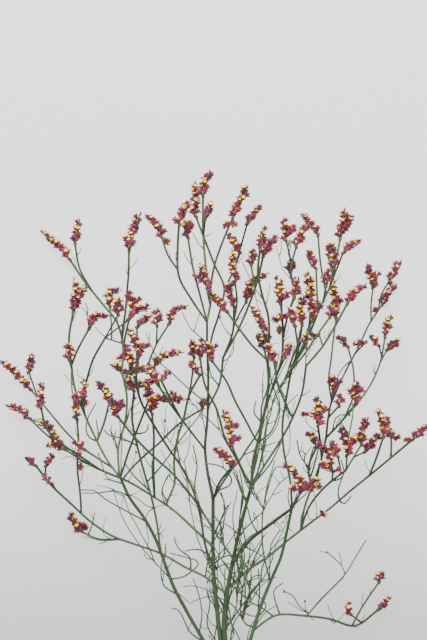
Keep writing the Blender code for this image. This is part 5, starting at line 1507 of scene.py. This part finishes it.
def bud_pairs(drawn, draw):
    """The pairs of closed buds at the tips of barren twigs: spot, direction and length."""
    tips = np.array([path[-1] for stem, path in drawn])
    onward = unit(np.array([path[-1] - path[-2] for stem, path in drawn]))
    pairs = []
    for spot in TIP_BUDS:
        nearest = np.argmin(np.linalg.norm(tips - placed(np.array(spot + (PAIR_HEIGHT,))), axis=1))
        beside = unit(np.cross(onward[nearest], UP))
        out = onward[nearest] + np.outer(PAIR_LEANS, beside)
        size = BUD_LENGTH * draw.uniform(*PAIR_SIZES, len(PAIR_LEANS))
        pairs.append((np.tile(tips[nearest] - onward[nearest], (len(size), 1)), out, size))
    return pairs


def lone_places(drawn, draw):
    """Where the small clusters of LONE_FLORETS stand and the way they point, each on the stem that
    passes closest to its plan point."""
    found = []
    for spot in LONE_FLORETS:
        stem, path = min(drawn, key=lambda pair: pair[0].distance(spot))
        at = path[np.argmin(np.linalg.norm(path - placed(stem.line[stem.nearest(spot)]), axis=1))]
        aim = placed(np.array(spot + (at[2],)))[0] - at
        found.append((at, unit(unit(aim + np.array(LONE_LEAN)) + UP * draw.uniform(*LONE_RISE))))
    return found


def lone_cluster(spot, out, draw):
    """The florets of one small cluster, in the same columns as those of a head."""
    count = len(LONE_ALONG)
    beside = unit(np.cross(out, UP))
    spots = spot + np.outer(LONE_ALONG, out)
    ways = unit(out + np.outer(LONE_ASIDE, beside))
    size = FLORET_LENGTH * draw.uniform(*LONE_SIZES, count)
    return spots, ways, np.tile(UP, (count, 1)), size, np.full(count, LONE_SHARE), np.array(LONE_FACING)


def joined(parts):
    """Each column of the parts as one array."""
    return [np.concatenate(column) for column in zip(*parts)]


def floret_chunks(florets, draw):
    """The chunk of the calyces, and that of the yellow corollas that some of those that face the
    light have in their mouths."""
    spots, out, near, size, share, facing = joined(florets)
    age = draw.uniform(0.0, 1.0, len(size))
    wide = draw.uniform(*FLORET_WIDTHS, len(size))
    calyces = copies(calyx_form(), spots, out, near, size, wide, age, share)
    shown = facing & (draw.uniform(0.0, 1.0, len(size)) < COROLLA_SHARE)
    seats = spots[shown] + unit(out[shown]) * (size[shown] * COROLLA_SEAT)[:, None]
    broad = draw.uniform(*COROLLA_WIDTHS, len(seats))
    length = np.full(len(seats), COROLLA_SIZE)
    corollas = copies(corolla_form(), seats, out[shown], near[shown], length, broad, age[shown])
    return calyces, corollas


def bud_chunk(buds, draw):
    """The chunk of all closed buds."""
    spots, out, size = joined(buds)
    age = draw.uniform(0.0, 1.0, len(size))
    return copies(bud_form(), spots, out, out[:, [1, 2, 0]], size, 1.0, age)


def bract_chunk(bracts, draw):
    """The chunk of all bracts."""
    spots, out, near, size = joined(bracts)
    age = draw.uniform(0.0, 1.0, len(size))
    return copies(scale_form(), spots, out, near, size, BRACT_WIDE, age)


def flowers(heads, drawn, lone, draw):
    """The chunks of the calyces, corollas, buds and bracts of all heads, and of their axes."""
    paths = {id(stem): path for stem, path in drawn}
    florets, bracts, buds, rachis = [], [], [], []
    for stalk, axes in heads:
        for part, axis in enumerate(axes):
            path = head_path(paths[id(stalk)], axis, part == 0)
            opened, frame_of = florets_on(path, draw)
            florets.append(opened)
            bracts.append(bracts_under(opened[0], *frame_of, draw))
            if part == 0:
                bracts.append(bracts_round(path[0], *[rows[0] for rows in frame_of], draw))
            buds.append(buds_at_tip(path, draw))
            radius = np.linspace(*RACHIS_THICK, len(path)) / 2
            tone = np.linspace(RACHIS_TONE, 1.0, len(path))
            rachis.append(rod(path, radius, RACHIS_SIDES, 0.0, tone, 0.5))
    buds += bud_pairs(drawn, draw)
    florets += [lone_cluster(spot, out, draw) for spot, out in lone]

    calyces, corollas = floret_chunks(florets, draw)
    closed = bud_chunk(buds, draw)
    leafy = bract_chunk(bracts, draw)
    return [calyces], [corollas], [closed], [leafy], rachis


# Stage
def floor():
    """A flat pale sheet with painted shade that greys it towards the cut end, and a glow of painted light
    that thins the spray's shadows on it.
    """
    reach = FLOOR_REACH * MM
    corners = [(-reach, -reach, 0.0), (reach, -reach, 0.0), (reach, reach, 0.0), (-reach, reach, 0.0)]
    mesh = bpy.data.meshes.new("floor")
    mesh.from_pydata(corners, [], [(0, 1, 2, 3)])
    paper = bpy.data.materials.new("pale_floor")
    paper.use_nodes = True
    tree = paper.node_tree
    where = node(tree, "TexCoord", {}).outputs["Object"]
    parts = node(tree, "SeparateXYZ", {"Vector": where}).outputs
    # Painted shade: the floor darkens to grey towards the cut end, where the light falls off
    fade = node(tree, "MapRange", {"Value": parts["Y"], "From Min": FLOOR_PAINTED_SHADE_FADE[0], "From Max": FLOOR_PAINTED_SHADE_FADE[1]},
                interpolation_type="SMOOTHSTEP")
    tone = coloured(tree, fade.outputs["Result"], ((0.0, FLOOR_PAINTED_SHADE_GREY), (1.0, FLOOR_PALE)))
    surface = tree.nodes["Principled BSDF"]
    tree.links.new(tone, surface.inputs["Base Color"])
    # Painted light: the floor glows by itself, which lifts the shadows the spray casts on it
    tree.links.new(tone, surface.inputs["Emission Color"])
    surface.inputs["Emission Strength"].default_value = FLOOR_PAINTED_LIGHT_GLOW
    surface.inputs["Roughness"].default_value = FLOOR_ROUGHNESS
    surface.inputs["Specular IOR Level"].default_value = FLOOR_SPECULAR
    mesh.materials.append(paper)
    ground = bpy.data.objects.new("floor", mesh)
    ground.location.z = -FLOOR_GAP * MM
    bpy.context.scene.collection.objects.link(ground)


def lights():
    """An even pale sky and the soft lamps, each turned to the spray."""
    world = bpy.data.worlds.new("studio")
    world.use_nodes = True
    world.node_tree.nodes["Background"].inputs["Color"].default_value = (1.0, 1.0, 1.0, 1.0)
    world.node_tree.nodes["Background"].inputs["Strength"].default_value = SKY_STRENGTH
    bpy.context.scene.world = world
    for name, place, size, power in LIGHTS:
        lamp = bpy.data.lights.new(name, "AREA")
        lamp.shape = "SQUARE"
        lamp.size = size
        lamp.energy = power
        light = bpy.data.objects.new(name, lamp)
        light.location = place
        light.rotation_mode = "QUATERNION"
        aim = -light.location.normalized()
        light.rotation_quaternion = aim.to_track_quat("-Z", "Y")
        bpy.context.scene.collection.objects.link(light)


def camera():
    """The eye straight above the sheet's middle, which frames the sheet from edge to edge."""
    eye = bpy.data.cameras.new("camera")
    eye.sensor_fit = "VERTICAL"
    eye.sensor_height = SENSOR_HEIGHT
    eye.lens = SENSOR_HEIGHT * (EYE_HEIGHT - TRUE_SCALE_HEIGHT) / SHEET_HEIGHT
    made = bpy.data.objects.new("camera", eye)
    made.location = ((SHEET_MIDDLE[0] - ORIGIN_ON_SHEET[0]) * MM,
                     (ORIGIN_ON_SHEET[1] - SHEET_MIDDLE[1]) * MM, EYE_HEIGHT * MM)
    bpy.context.scene.collection.objects.link(made)
    bpy.context.scene.camera = made


def dress():
    """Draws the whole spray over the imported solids, one piece for each part of the plant."""
    draw = np.random.default_rng(SEED)
    stems, heads, taken = arrange()
    twigs = barren_twigs(stems, taken)
    twigs += fine_twigs(stems, twigs)
    thick, thin, bare, drawn, ends = rods(stems, twigs, draw)
    thick.append(swellings(ends, drawn))
    cut = [cut_end(*ends[0][1:])]
    calyces, corollas, buds, bracts, rachis = flowers(heads, drawn, lone_places(drawn, draw), draw)
    bare += hair_forks(drawn, draw) + tangle(drawn, draw)
    scales = scale_leaves(drawn, draw)

    finish = {name: finish_of(name, **look) for name, look in FINISHES.items()}
    head_nodes = ["head_%02d" % (k + 1) for k in range(HEAD_NODES)]
    piece("main_stems", thick, finish["dried_stem_green"], ["stem"])
    piece("flower_stalks", thin + rachis, finish["thin_stalk_green"])
    piece("barren_twigs", bare, finish["pale_twig_green"])
    piece("cut_end", cut, finish["cut_pith"])
    piece("scale_leaves", scales, finish["papery_scale_brown"])
    piece("calyces", calyces, finish["papery_calyx_carmine"], head_nodes)
    piece("corollas", corollas, finish["corolla_yellow"])
    piece("closed_buds", buds, finish["closed_bud_maroon"])
    piece("flower_bracts", bracts, finish["bract_olive"])


floor()
lights()
camera()
dress()
